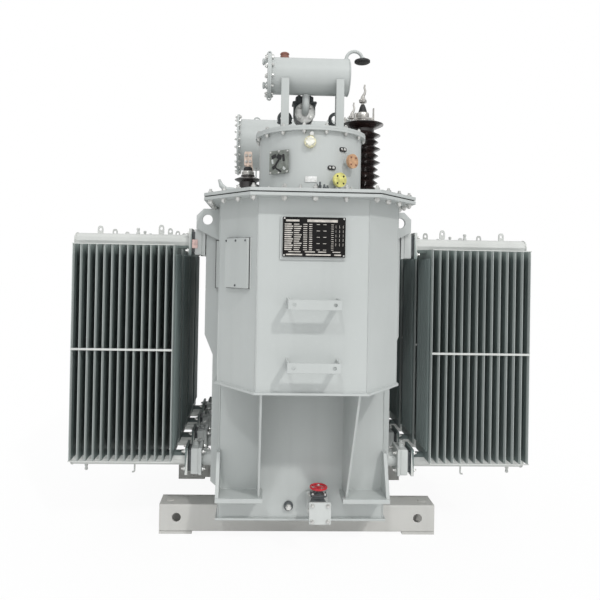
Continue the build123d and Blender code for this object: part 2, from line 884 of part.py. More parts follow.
with BuildPart() as hv_porcelain:
    with BuildSketch(Plane.XZ):
        with BuildLine():
            Polyline(
                (0, cover_top + hv_base_height),
                (hv_core_radius, cover_top + hv_base_height),
                *shed_profile(hv_core_radius, hv_first_shed_z, hv_shed_pitch, hv_shed_count,
                              (hv_shed_radius, hv_small_shed_radius)),
                (hv_core_radius, hv_top_shed_z - hv_top_shed_drop),
                (hv_top_shed_radius, hv_top_shed_z - shed_edge),
                (hv_top_shed_radius, hv_top_shed_z),
                (hv_cap_radius + hv_cap_margin, hv_porcelain_top),
                (0, hv_porcelain_top),
                close=True,
            )
        make_face()
    revolve(axis=Axis.Z)
finish_copies(hv_porcelain, "hv_porcelains", hv_places)

with BuildPart() as hv_terminal:
    with BuildSketch(Plane.XZ):
        with BuildLine():
            Polyline(
                (0, hv_porcelain_top),
                (hv_cap_radius, hv_porcelain_top),
                (hv_cap_radius, hv_porcelain_top + hv_cap_height),
                (hv_cone_radius, hv_porcelain_top + hv_cap_height),
                (hv_stud_radius, hv_porcelain_top + hv_cap_height + hv_cone_height),
                (hv_stud_radius, hv_stud_top),
                (0, hv_stud_top),
                close=True,
            )
        make_face()
    revolve(axis=Axis.Z)
finish_copies(hv_terminal, "hv_terminals", hv_places)

# Low voltage bushings: porcelain skirt, clamp ring, collar and a flag terminal
lv_places = [(lv_x, row_y) for row_y in lv_rows]
with BuildPart() as lv_porcelain:
    with BuildSketch(Plane.XZ):
        with BuildLine():
            Polyline(
                (0, cover_top),
                (lv_radius, cover_top),
                (lv_radius, lv_skirt_z - lv_skirt_slope),
                (lv_shed_radius, lv_skirt_z),
                (lv_shed_radius, lv_skirt_z + shed_edge),
                (lv_sleeve_radius, lv_skirt_z + lv_skirt_rise),
                (lv_sleeve_radius, lv_ring_z),
                (0, lv_ring_z),
                close=True,
            )
        make_face()
    revolve(axis=Axis.Z)
finish_copies(lv_porcelain, "lv_porcelains", lv_places)

with BuildPart() as lv_terminal:
    for start_z, height, radius in (
        (lv_ring_z, lv_ring_height, lv_ring_radius),
        (lv_ring_z + lv_ring_height, lv_collar_height, lv_collar_radius),
    ):
        with BuildSketch(Plane.XY.offset(start_z)):
            Circle(radius)
        extrude(amount=height)
    flag_z = lv_ring_z + lv_ring_height + lv_collar_height
    with Locations((0, 0, flag_z + lv_flag_height / 2)):
        Box(lv_flag_width, lv_flag_thickness, lv_flag_height)
    with BuildSketch(Plane.XZ):
        with Locations((0, flag_z + lv_flag_height - lv_flag_width / 2)):
            Circle(lv_flag_hole_radius)
    extrude(amount=lv_flag_thickness, both=True, mode=Mode.SUBTRACT)
finish_copies(lv_terminal, "lv_terminals", lv_places)

# Drain valve: body from the wall with two square flanges, bonnet and stem
outlet_y = front_wall_y - drain_face_reach
with BuildPart() as drain_valve:
    with BuildSketch(Plane.XZ.offset(-front_wall_y)):
        with Locations((drain_x, drain_z)):
            Circle(drain_body_radius)
    extrude(amount=drain_face_reach)
    for flange_start_y in (outlet_y + drain_flange_thickness, front_wall_y - drain_inner_flange_reach):
        with BuildSketch(Plane.XZ.offset(-flange_start_y)):
            with Locations((drain_x, drain_z)):
                Rectangle(drain_flange_side, drain_flange_side)
        extrude(amount=drain_flange_thickness)
    with BuildSketch(Plane.XY.offset(drain_z)):
        with Locations((drain_x, wheel_y)):
            Circle(bonnet_radius)
    extrude(amount=bonnet_height)
    with BuildSketch(Plane.XY.offset(drain_z + bonnet_height)):
        with Locations((drain_x, wheel_y)):
            Circle(stem_radius)
    extrude(amount=wheel_z + wheel_hub_height / 2 + stem_overrun - drain_z - bonnet_height)
finish(drain_valve, "drain_valve")

with BuildPart() as handwheel:
    rim_centre = wheel_radius - wheel_rim_radius
    with BuildSketch(Plane.XZ):
        with Locations((rim_centre, wheel_z)):
            Circle(wheel_rim_radius)
    revolve(axis=Axis.Z)
    with BuildSketch(Plane.XY.offset(wheel_z - wheel_hub_height / 2)):
        Circle(wheel_hub_radius)
    extrude(amount=wheel_hub_height)
    with BuildSketch(Plane.XY.offset(wheel_z - wheel_spoke_thickness / 2)):
        with PolarLocations(rim_centre / 2, wheel_spokes):
            Rectangle(rim_centre, wheel_spoke_width)
    extrude(amount=wheel_spoke_thickness)
    with BuildSketch(Plane.XY.offset(wheel_z - wheel_hub_height / 2)):
        Circle(stem_radius + stem_clearance)
    extrude(amount=wheel_hub_height, mode=Mode.SUBTRACT)
finish_copies(handwheel, "drain_handwheel", [(drain_x, wheel_y)])
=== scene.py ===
import json
import math
from itertools import product

import bmesh
import bpy
from mathutils import Matrix, Vector


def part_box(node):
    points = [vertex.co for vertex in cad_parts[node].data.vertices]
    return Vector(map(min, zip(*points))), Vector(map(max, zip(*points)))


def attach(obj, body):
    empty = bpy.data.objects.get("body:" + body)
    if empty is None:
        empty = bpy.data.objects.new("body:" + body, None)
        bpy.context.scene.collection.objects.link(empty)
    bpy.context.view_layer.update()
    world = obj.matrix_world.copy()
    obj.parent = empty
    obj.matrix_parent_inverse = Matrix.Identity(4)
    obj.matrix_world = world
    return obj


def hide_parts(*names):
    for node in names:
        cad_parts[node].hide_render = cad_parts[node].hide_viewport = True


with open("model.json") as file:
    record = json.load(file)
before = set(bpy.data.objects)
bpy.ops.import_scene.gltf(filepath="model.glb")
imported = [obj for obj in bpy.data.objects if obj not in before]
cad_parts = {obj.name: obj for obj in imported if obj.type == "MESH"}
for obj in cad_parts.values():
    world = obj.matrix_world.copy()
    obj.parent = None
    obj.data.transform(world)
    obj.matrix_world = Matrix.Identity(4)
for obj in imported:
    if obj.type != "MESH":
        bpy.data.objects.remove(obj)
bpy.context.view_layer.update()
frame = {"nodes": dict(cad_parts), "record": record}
body = "regulator"
nodes = frame["nodes"]

# Directions, and the two sides seen from the front
up = (0, 0, 1)
down = (0, 0, -1)
to_front = (0, -1, 0)
to_back = (0, 1, 0)
to_left = (-1, 0, 0)
to_right = (1, 0, 0)
sides = (("left", -1), ("right", 1))

# Sizes repeated from the CAD, in millimetres as there; make_piece turns them into metres
metre = 1000
tank_half_width = 480
tank_half_length = 730
front_wall_y = -tank_half_length
rear_corner_cut = 70
nose_front_y = -1250
nose_front_half_width = 277
nose_corner_y = -1000
nose_bottom = 1034
cover_top = 2035
rim_bottom = 1997
rim_bolt_offset = 52
duct_half_length = 620
duct_bottom = 310
duct_top = 1960
gusset_x = 247
gusset_half = 6
pad_inner_x = 225
pad_levels = (332, 357)
step_levels = (1153, 1452)
step_height = 48
turret_y = -955
turret_radius = 275
turret_top = 2360
turret_rim_bottom = 2336
turret_bolt_circle = 286
radiator_rows = (-547.5, -182.5, 182.5, 547.5)
panel_first_x = 766
panel_pitch = 45
panel_count = 14
panel_run = (panel_count - 1) * panel_pitch
panel_last_x = panel_first_x + panel_run
panel_half_width = 155
panel_seam_width = 20
header_low = 477
header_high = 1787
header_radius = 44.5
valve_start_x = 590
valve_body_x = 606
valve_body_end = 652
radiator_flange_x = 672
valve_end_x = 688
drain_x = 91
drain_z = 302
drain_face_y = -935
wheel_y = -832.5
wheel_hub_top = 417.2
hv_x = 344
hv_rows = (-620, -220, 180)
hv_base_top = cover_top + 40
hv_cap_z = 2546
lv_x = -341
lv_rows = (-720, -440, -160, 120)
lv_ring_z = 2178
expansion_z = 2690
expansion_radius = 98
expansion_left = -230
expansion_right = 198
vent_x = 190
drum_y = 650
drum_z = 2626
drum_half_length = 455
drum_flange = 14
drum_radius = 207
relay_x = -28
relay_z = 2508
relay_front_y = -905
lid_eye_y = -830
plate_z = 1802
plate_front_y = -1270
handhole_z = 1668
handhole_shift = 12
skid_top = 180
skid_y = 450


# Materials
def new_material(name):
    """A node material, with its node tree and its shader."""
    material = bpy.data.materials.new(name)
    material.use_nodes = True
    tree = material.node_tree
    return material, tree, tree.nodes["Principled BSDF"]


def feed(tree, value, socket):
    """Give a socket a number, a colour or the output of another node."""
    if hasattr(value, "is_output"):
        tree.links.new(value, socket)
    else:
        socket.default_value = (*value, 1.0) if isinstance(value, tuple) else value


def add_noise(tree, scale, detail=4.0, stretch=(1.0, 1.0, 1.0)):
    """Noise in object space, in cycles per metre, stretched along the axes."""
    coordinates = tree.nodes.new("ShaderNodeTexCoord")
    mapping = tree.nodes.new("ShaderNodeMapping")
    mapping.inputs["Scale"].default_value = stretch
    noise = tree.nodes.new("ShaderNodeTexNoise")
    noise.inputs["Scale"].default_value = scale
    noise.inputs["Detail"].default_value = detail
    tree.links.new(coordinates.outputs["Object"], mapping.inputs["Vector"])
    tree.links.new(mapping.outputs["Vector"], noise.inputs["Vector"])
    return noise.outputs["Fac"]


def add_range(tree, value, low, high, new_low, new_high):
    """Map a value between two limits to another pair, and clamp it."""
    node = tree.nodes.new("ShaderNodeMapRange")
    for label, limit in (("From Min", low), ("From Max", high), ("To Min", new_low), ("To Max", new_high)):
        node.inputs[label].default_value = limit
    tree.links.new(value, node.inputs["Value"])
    return node.outputs["Result"]


def add_patches(tree, scale, detail, low, high, most=1.0, stretch=(1.0, 1.0, 1.0)):
    """Patches from 0 to most, where the noise lies between two limits."""
    return add_range(tree, add_noise(tree, scale, detail, stretch), low, high, 0.0, most)


def add_math(tree, operation, *values):
    """Arithmetic on numbers and sockets."""
    node = tree.nodes.new("ShaderNodeMath")
    node.operation = operation
    for value, socket in zip(values, node.inputs):
        feed(tree, value, socket)
    return node.outputs["Value"]


def add_mix(tree, factor, first, second):
    """Mix two colours, each given as a colour or as a socket."""
    node = tree.nodes.new("ShaderNodeMix")
    node.data_type = "RGBA"
    tree.links.new(factor, node.inputs["Factor"])
    feed(tree, first, node.inputs[6])
    feed(tree, second, node.inputs[7])
    return node.outputs[2]


def scaled(colour, amount):
    """A colour made brighter or darker."""
    return tuple(min(1.0, channel * amount) for channel in colour)


def split_axes(tree, space):
    """X, Y and Z of a place, in one of the texture spaces."""
    coordinates = tree.nodes.new("ShaderNodeTexCoord")
    split = tree.nodes.new("ShaderNodeSeparateXYZ")
    tree.links.new(coordinates.outputs[space], split.inputs["Vector"])
    return split.outputs


def finish_surface(tree, shader, roughness, grain_scale, grain_strength, edge=0.0):
    """Uneven roughness, a fine grain in the normal, and softened edges."""
    cloud = add_noise(tree, 9.0, 5.0)
    uneven = add_range(tree, cloud, 0.3, 0.7, roughness * 0.85, roughness * 1.2)
    tree.links.new(uneven, shader.inputs["Roughness"])
    bump = tree.nodes.new("ShaderNodeBump")
    bump.inputs["Strength"].default_value = grain_strength
    bump.inputs["Distance"].default_value = 0.001
    tree.links.new(add_noise(tree, grain_scale, 2.0), bump.inputs["Height"])
    if edge:
        bevel = tree.nodes.new("ShaderNodeBevel")
        bevel.samples = 4
        bevel.inputs["Radius"].default_value = edge
        tree.links.new(bevel.outputs["Normal"], bump.inputs["Normal"])
    tree.links.new(bump.outputs["Normal"], shader.inputs["Normal"])


def make_paint(name, colour, roughness, cloudiness, edge=0.0):
    """Sprayed enamel with cloudy tone, faint runs and dust, and an orange-peel grain."""
    material, tree, shader = new_material(name)
    cloud = add_patches(tree, 2.6, 6.0, 0.3, 0.7)
    tone = add_mix(tree, cloud, scaled(colour, 1 - cloudiness), scaled(colour, 1 + cloudiness))
    runs = add_patches(tree, 14.0, 5.0, 0.5, 0.8, 0.35, (1.0, 1.0, 0.06))
    tone = add_mix(tree, runs, tone, scaled(colour, 0.86))
    dust = add_patches(tree, 55.0, 3.0, 0.62, 0.74, 0.25)
    tone = add_mix(tree, dust, tone, scaled(colour, 1.12))
    tree.links.new(tone, shader.inputs["Base Color"])
    shader.inputs["Specular IOR Level"].default_value = 0.45
    finish_surface(tree, shader, roughness, 420.0, 0.10, edge)
    return material


def make_radiator_paint(name, colour, lit_top_colour):
    """Radiator enamel in upright streaks, with painted light: a ragged pale band at the upper ends of the
    panels, where light from above falls between them.
    """
    material, tree, shader = new_material(name)
    cloud = add_patches(tree, 4.0, 6.0, 0.3, 0.7, 1.0, (1.0, 1.0, 0.25))
    tone = add_mix(tree, cloud, scaled(colour, 0.86), scaled(colour, 1.12))
    height = split_axes(tree, "Object")["Z"]
    ragged = add_math(tree, "MULTIPLY_ADD", add_noise(tree, 20.0, 3.0), 0.06, height)
    # Painted light: the upper ends of the panels are mixed towards a paler colour
    top = add_range(tree, ragged, 1.735, 1.785, 0.0, 0.8)
    tone = add_mix(tree, top, tone, lit_top_colour)
    tree.links.new(tone, shader.inputs["Base Color"])
    shader.inputs["Specular IOR Level"].default_value = 0.35
    finish_surface(tree, shader, 0.42, 300.0, 0.12)
    return material


def make_metal(name, colour, roughness, metallic=0.85):
    """Plated or bare metal with dull patches and fine scratches."""
    material, tree, shader = new_material(name)
    dull = add_patches(tree, 38.0, 5.0, 0.4, 0.65)
    tree.links.new(add_mix(tree, dull, colour, scaled(colour, 0.72)), shader.inputs["Base Color"])
    shader.inputs["Metallic"].default_value = metallic
    finish_surface(tree, shader, roughness, 700.0, 0.15)
    return material


def make_glaze(name, colour, fleck):
    """Glazed porcelain: deep, glossy, with slightly uneven colour."""
    material, tree, shader = new_material(name)
    cloud = add_patches(tree, 16.0, 5.0, 0.35, 0.7)
    tree.links.new(add_mix(tree, cloud, colour, fleck), shader.inputs["Base Color"])
    shader.inputs["Coat Weight"].default_value = 0.6
    shader.inputs["Coat Roughness"].default_value = 0.08
    finish_surface(tree, shader, 0.20, 60.0, 0.05)
    return material


def make_cast(name, colour, roughness, sheen=0.5):
    """Cast or moulded surface with a coarse skin."""
    material, tree, shader = new_material(name)
    cloud = add_patches(tree, 45.0, 6.0, 0.35, 0.68)
    tone = add_mix(tree, cloud, scaled(colour, 0.75), scaled(colour, 1.2))
    tree.links.new(tone, shader.inputs["Base Color"])
    shader.inputs["Specular IOR Level"].default_value = sheen
    finish_surface(tree, shader, roughness, 260.0, 0.35)
    return material


finishes = (
    (make_paint, "tank_paint", (0.503, 0.527, 0.520), 0.36, 0.025, 0.003),
    (make_paint, "skid_paint", (0.545, 0.540, 0.520), 0.48, 0.06, 0.003),
    # For the radiator paints, the last colour is the painted light at the panels' upper ends
    (make_radiator_paint, "radiator_paint", (0.175, 0.212, 0.208), (0.40, 0.46, 0.44)),
    (make_paint, "header_paint", (0.600, 0.612, 0.594), 0.40, 0.08),
    # Seam paint is a paler copy of the radiator paint: painted highlight on the edges of the panels
    (make_radiator_paint, "seam_paint", (0.42, 0.455, 0.445), (0.52, 0.56, 0.54)),
    (make_cast, "gasket", (0.030, 0.031, 0.032), 0.7),
    (make_glaze, "porcelain", (0.012, 0.008, 0.008), (0.030, 0.015, 0.013)),
    (make_glaze, "lv_porcelain", (0.020, 0.017, 0.017), (0.040, 0.030, 0.028)),
    (make_metal, "terminal_steel", (0.62, 0.60, 0.57), 0.30),
    (make_metal, "copper", (0.84, 0.68, 0.58), 0.34),
    (make_cast, "dark_fitting", (0.095, 0.105, 0.110), 0.45),
    (make_cast, "black_rubber", (0.022, 0.022, 0.023), 0.55),
    (make_cast, "plate", (0.008, 0.0075, 0.0075), 0.42, 0.16),
    (make_cast, "plate_marks", (0.56, 0.53, 0.49), 0.5),
    (make_cast, "turret_plate", (0.210, 0.225, 0.205), 0.30),
    (make_cast, "sight_glass", (0.78, 0.74, 0.50), 0.3),
    (make_cast, "cream", (0.88, 0.86, 0.76), 0.3),
    (make_cast, "orange_cap", (0.56, 0.33, 0.19), 0.4),
    (make_cast, "yellow_cap", (0.66, 0.62, 0.20), 0.4),
    (make_cast, "filler_brown", (0.27, 0.115, 0.085), 0.4),
    (make_paint, "red_paint", (0.52, 0.022, 0.035), 0.28, 0.08),
    (make_paint, "valve_metal", (0.56, 0.58, 0.57), 0.34, 0.06),
    (make_metal, "zinc", (0.72, 0.72, 0.70), 0.36, 0.75),
    (make_cast, "white_tag", (0.86, 0.86, 0.84), 0.5),
    (make_cast, "pink_tag", (0.80, 0.56, 0.52), 0.5),
)
materials = {name: maker(name, *settings) for maker, name, *settings in finishes}


# Places and mesh tools
def placed(origin, direction=up, spin=0.0):
    """Matrix that takes the local Z axis to a direction, at an origin."""
    turn = Vector(direction).normalized().to_track_quat("Z", "Y").to_matrix().to_4x4()
    return Matrix.Translation(Vector(origin)) @ turn @ Matrix.Rotation(spin, 4, "Z")


def moved(matrix, x, y=0.0, z=0.0):
    """A matrix shifted along its own axes."""
    return matrix @ Matrix.Translation((x, y, z))


def around(count, start=0.0):
    """Evenly spaced angles of a full turn; start is a share of one space."""
    return [2 * math.pi * (k + start) / count for k in range(count)]


def ring_places(first, second, radius, count, start=0.0):
    """Angle and two coordinates of evenly spaced places round a centre."""
    return [(angle, first + radius * math.cos(angle), second + radius * math.sin(angle))
            for angle in around(count, start)]


def add_rings(bm, rings, capped, mark):
    """Skin a list of rings of points, with both ends capped or open."""
    rows = [[bm.verts.new(point) for point in ring] for ring in rings]
    count = len(rows[0])
    for low, high in zip(rows, rows[1:]):
        for i in range(count):
            j = (i + 1) % count
            bm.faces.new((low[i], low[j], high[j], high[i])).material_index = mark
    for cap in (rows[0][::-1], rows[-1]) if capped else ():
        bm.faces.new(cap).material_index = mark


def turned(profile, matrix, segments):
    """Rings of a profile of (radius, height) points turned about the local Z axis."""
    return [[matrix @ Vector((x, y, height)) for _, x, y in ring_places(0, 0, radius, segments)]
            for radius, height in profile]


def add_lathe(bm, profile, matrix, segments=32, mark=0):
    """Solid turned from a profile."""
    add_rings(bm, turned(profile, matrix, segments), True, mark)


def add_prism(bm, outline, low, high, matrix, mark=0, edge=0.0):
    """Extrude an outline in local XY, with its rims chamfered inwards by edge."""
    middle = Vector((sum(p[0] for p in outline), sum(p[1] for p in outline))) / len(outline)
    reach = max((Vector(p) - middle).length for p in outline)
    shrink = 1 - edge / reach
    levels = [(low, 1), (high, 1)]
    if edge:
        levels = [(low, shrink), (low + edge, 1.0), (high - edge, 1.0), (high, shrink)]
    rings = []
    for height, size in levels:
        rings.append([matrix @ Vector((*(middle + (Vector(p) - middle) * size), height)) for p in outline])
    add_rings(bm, rings, True, mark)


def block(half_x, half_y, corner=0.0, steps=4):
    """Outline of a rectangle with rounded corners."""
    if not corner:
        return [(half_x, -half_y), (half_x, half_y), (-half_x, half_y), (-half_x, -half_y)]
    points = []
    for x, y, start in ((1, -1, -90), (1, 1, 0), (-1, 1, 90), (-1, -1, 180)):
        for step in range(steps + 1):
            angle = math.radians(start + 90 * step / steps)
            points.append((x * (half_x - corner) + corner * math.cos(angle),
                           y * (half_y - corner) + corner * math.sin(angle)))
    return points


def add_tube(bm, points, radius, segments=12, mark=0):
    """Round bar along a line of points; the radius may be one value or one for each point."""
    points = [Vector(p) for p in points]
    radii = radius if isinstance(radius, (list, tuple)) else [radius] * len(points)
    across = None
    rings = []
    for i, point in enumerate(points):
        along = (points[min(i + 1, len(points) - 1)] - points[max(i - 1, 0)]).normalized()
        if across is None:
            across = along.orthogonal().normalized()
        across = (across - along * across.dot(along)).normalized()
        beside = along.cross(across)
        rings.append([point + (across * math.cos(angle) + beside * math.sin(angle)) * radii[i]
                      for angle in around(segments)])
    add_rings(bm, rings, True, mark)


def arc(centre, start, end, first, second, radius, steps=12):
    """Points of an arc in the plane of two directions, by angle in degrees."""
    first, second = Vector(first), Vector(second)
    points = []
    for i in range(steps + 1):
        angle = math.radians(start + (end - start) * i / steps)
        points.append(Vector(centre) + (first * math.cos(angle) + second * math.sin(angle)) * radius)
    return points


def edge_distance(outline, centre, direction):
    """How far an outline lies from a centre inside it, in one direction."""
    nearest = metre
    for corner, after in zip(outline, outline[1:] + outline[:1]):
        start = Vector(corner) - centre
        run = Vector(after) - centre - start
        cross = direction.x * run.y - direction.y * run.x
        if abs(cross) < 1e-6:
            continue
        reach = (start.x * run.y - start.y * run.x) / cross
        share = (start.x * direction.y - start.y * direction.x) / cross
        if reach > 0 and -1e-6 <= share <= 1 + 1e-6:
            nearest = min(nearest, reach)
    return nearest


def add_eye(bm, matrix, outline, hole_height, hole_radius, thickness, mark):
    """Flat plate with a round hole, made of quads between its outline and the hole."""
    centre = Vector((0.0, hole_height))
    rays = [Vector((math.cos(angle), math.sin(angle))) for angle in around(24)]
    outer = [centre + ray * edge_distance(outline, centre, ray) for ray in rays]
    inner = [centre + ray * hole_radius for ray in rays]
    half = thickness / 2
    rings = [[matrix @ Vector((p.x, p.y, z)) for p in loop]
             for loop, z in ((inner, -half), (outer, -half), (outer, half), (inner, half), (inner, -half))]
    add_rings(bm, rings, False, mark)


# Bolts: radius of the washer, height of the head, and how far the stud stands out of it, in millimetres
bolt_kinds = {
    "cover_head": (15, 11, 10),
    "cover_nut": (16, 14, 6),
    "lid_head": (11, 8, 5),
    "lid_nut": (11, 10, 6),
    "turret_foot": (10, 8, 8),
    "valve": (13, 11, 0),
    "end_flange_head": (9, 8, 5),
    "end_flange_nut": (9, 8, 4),
    "relay": (11, 8, 3),
    "lid_eye": (12, 12, 6),
    "oil_sight": (4, 4, 0),
    "turret_plate": (5.5, 4, 0),
    "port": (4.5, 4, 0),
    "drum_head": (11, 10, 6),
    "drum_nut": (11, 10, 5),
    "hv_clamp": (6, 6, 0),
    "lv_flag": (8.5, 6, 0),
    "hv_base": (11, 10, 10),
    "drain_head": (11.5, 9, 3),
    "drain_nut": (10.5, 9, 4),
    "bonnet": (7.5, 6, 3),
}


def add_bolt(bm, matrix, kind, mark=0):
    """Hexagon head or nut on a washer, with the stud's rounded end standing out of it."""
    size, head, stud = bolt_kinds[kind]
    across = size * 0.87
    washer = size * 0.18
    top = washer + head
    add_lathe(bm, [(size, 0), (size * 1.05, washer * 0.5), (size, washer)], matrix, 16, mark)
    add_lathe(bm, [(across, washer), (across, washer + head * 0.8), (across * 0.84, top)], matrix, 6, mark)
    if stud:
        tip = [(size * 0.48, top - 1), (size * 0.48, top + stud * 0.8), (size * 0.34, top + stud)]
        add_lathe(bm, tip, matrix, 10, mark)


def add_object(name, data):
    """A new object in the scene."""
    new_object = bpy.data.objects.new(name, data)
    bpy.context.scene.collection.objects.link(new_object)
    return new_object


def add_materials(mesh, *names):
    """More materials for a mesh."""
    for name in names:
        mesh.materials.append(materials[name])


def smooth(mesh, degrees):
    """Smooth shading, but for edges sharper than an angle."""
    for polygon in mesh.polygons:
        polygon.use_smooth = True
    mesh.set_sharp_from_angle(angle=math.radians(degrees))


def make_piece(name, bm, slots, body_name=body, replaced=()):
    """Turn a mesh into a piece of the object, with its materials and body."""
    bmesh.ops.remove_doubles(bm, verts=bm.verts, dist=1e-3)
    bmesh.ops.recalc_face_normals(bm, faces=bm.faces)
    bm.transform(Matrix.Scale(1 / metre, 4))
    mesh = bpy.data.meshes.new(name)
    bm.to_mesh(mesh)
    bm.free()
    add_materials(mesh, *slots)
    smooth(mesh, 35)
    piece = add_object(name, mesh)
    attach(piece, body_name)
    if replaced:
        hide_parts(*replaced)


def grow(outline, distance):
    """Push each side of a convex anticlockwise outline outwards."""
    corners = [Vector(corner) for corner in outline]
    runs = [(after - corner).normalized() for corner, after in zip(corners, corners[1:] + corners[:1])]
    normals = [Vector((run.y, -run.x)) for run in runs]
    grown = []
    for corner, first, second in zip(corners, normals[-1:] + normals[:-1], normals):
        mitre = (first + second).normalized()
        grown.append(corner + mitre * (distance / mitre.dot(first)))
    return grown


def stations(outline, spacings):
    """Points along a closed outline, with one at each corner."""
    points = []
    for start, end, spacing in zip(outline, outline[1:] + outline[:1], spacings):
        count = max(1, round((end - start).length / spacing))
        points += [start.lerp(end, k / count) for k in range(count)]
    return points


# CAD nodes get their finished materials
finish_of = {entry["node"]: entry["material_slot"] for entry in frame["record"]["subparts"]}
finish_of["turret_plate"] = "turret_plate"
for side_name, _ in sides:
    finish_of[f"radiator_valves_{side_name}"] = "valve_metal"
for node_name, node in nodes.items():
    node.data.materials.clear()
    add_materials(node.data, finish_of[node_name])
    smooth(node.data, 28)
    for polygon in node.data.polygons:
        polygon.material_index = 0

# Painted shade on the necks of the radiator valves, paler header pipes and tie bars, and painted highlight
# on the seams of the radiators
header_margin = 20
for side_name, _ in sides:
    mesh = nodes[f"radiator_valves_{side_name}"].data
    add_materials(mesh, "dark_fitting")
    for polygon in mesh.polygons:
        if valve_body_end < abs(polygon.center.x) * metre < radiator_flange_x:
            # Painted shade: the necks between valve body and radiator flange are made dark, for the shaded
            # gap there
            polygon.material_index = 1
    for number, row_y in enumerate(radiator_rows, start=1):
        mesh = nodes[f"radiator_{side_name}_{number}"].data
        add_materials(mesh, "header_paint", "seam_paint")
        for polygon in mesh.polygons:
            height = polygon.center.z * metre
            from_row = abs(polygon.center.y * metre - row_y)
            header = height < header_low + header_margin or height > header_high - header_margin
            if header or from_row > panel_half_width + 0.5:
                polygon.material_index = 1
            elif from_row > panel_half_width - panel_seam_width:
                # Painted highlight: the edges of the panels get the paler seam paint
                polygon.material_index = 2

# Bolts round the cover: heads above, nuts and studs below the rim
right_half = [(nose_front_half_width, nose_front_y), (tank_half_width, nose_corner_y),
              (tank_half_width, tank_half_length - rear_corner_cut),
              (tank_half_width - rear_corner_cut, tank_half_length)]
left_half = [(-x, y) for x, y in reversed(right_half)]
tank_outline = left_half[-1:] + right_half + left_half[:-1]
cover_spacings = (150, 115, 105, 100, 105, 100, 105, 115)
bm = bmesh.new()
for i, point in enumerate(stations(grow(tank_outline, rim_bolt_offset), cover_spacings)):
    add_bolt(bm, placed((point.x, point.y, cover_top), up, i * 0.4), "cover_head")
    add_bolt(bm, placed((point.x, point.y, rim_bottom), down, i * 0.7), "cover_nut")
make_piece("cover_bolts", bm, ["zinc"])

# Bolts round the turret lid
bm = bmesh.new()
for angle in around(16, 0.5):
    x = turret_bolt_circle * math.sin(angle)
    y = turret_y - turret_bolt_circle * math.cos(angle)
    add_bolt(bm, placed((x, y, turret_top), up, angle), "lid_head")
    add_bolt(bm, placed((x, y, turret_rim_bottom), down, angle), "lid_nut")
make_piece("turret_lid_bolts", bm, ["zinc"])

# Ring of bolts at the turret's foot
foot_bolt_circle = 298
foot_inner = turret_radius + 0.5
foot_outer = foot_bolt_circle + 12
foot_height = 11
foot_profile = [(foot_inner, 0), (foot_outer, 0), (foot_outer, foot_height - 2),
                (foot_outer - 2, foot_height), (foot_inner, foot_height)]
bm = bmesh.new()
rings = turned(foot_profile, placed((0, turret_y, cover_top)), 96)
add_rings(bm, rings + [rings[0]], False, 0)
for angle in around(20, 0.25):
    x = foot_bolt_circle * math.sin(angle)
    y = turret_y - foot_bolt_circle * math.cos(angle)
    add_bolt(bm, placed((x, y, cover_top + 10), up, angle), "turret_foot", 1)
make_piece("turret_foot_ring", bm, ["tank_paint", "zinc"])


# Valves between tank and radiators
def add_valve_details(bm, side, row_y, level_z):
    """Studs, nuts, wafer plate, spindle and lever of one valve."""
    stud_circle = 73
    stud_end = 22
    for k, (_, y, z) in enumerate(ring_places(row_y, level_z, stud_circle, 4, 0.5)):
        ends = (valve_start_x - stud_end, valve_end_x + stud_end)
        add_tube(bm, [(side * x, y, z) for x in ends], 6.5, 8)
        add_bolt(bm, placed((side * valve_start_x, y, z), (-side, 0, 0), k), "valve")
        add_bolt(bm, placed((side * valve_end_x, y, z), (side, 0, 0), k), "valve")
    wafer_inset = 4
    wafer_depth = valve_body_end - valve_body_x - 2 * wafer_inset
    wafer = placed((side * (valve_body_x + wafer_inset), row_y, level_z), (side, 0, 0))
    add_prism(bm, block(78, 78, 10), 0, wafer_depth, wafer, 1, 2)
    middle = (side * (valve_body_x + valve_body_end) / 2, row_y, level_z)
    spindle = [(16, 70), (16, 96), (9, 98), (9, 112), (7, 113)]
    add_lathe(bm, spindle, placed(middle), 14, 1)
    lever = [(-12, -10), (55, -7), (60, 0), (55, 7), (-12, 10)]
    add_prism(bm, lever, 100, 105, placed(middle, up, math.radians(250)), 0, 1)


for side_name, side in sides:
    bm = bmesh.new()
    for row_y, level_z in product(radiator_rows, (header_low, header_high)):
        add_valve_details(bm, side, row_y, level_z)
    make_piece(f"valve_fittings_{side_name}", bm, ["zinc", "valve_metal"])

bm = bmesh.new()
tag_matrix = placed((-652, radiator_rows[0] - 81, header_high - 12), to_front)
add_prism(bm, block(16, 26, 3), 0, 2, tag_matrix)
make_piece("valve_tag", bm, ["pink_tag"])

# Radiators
channel_count = 6
channel_pitch = 41
channel_radius = 12.5
channel_inset = 85
channel_taper = 12
plug_profile = [(11, 0), (11, 12), (8, 14), (8, 26), (10, 28), (10, 36), (6, 40)]
header_cap_profile = [(header_radius + 3, 0), (header_radius + 3, 6), (header_radius * 0.96, 9), (12, 9.8)]


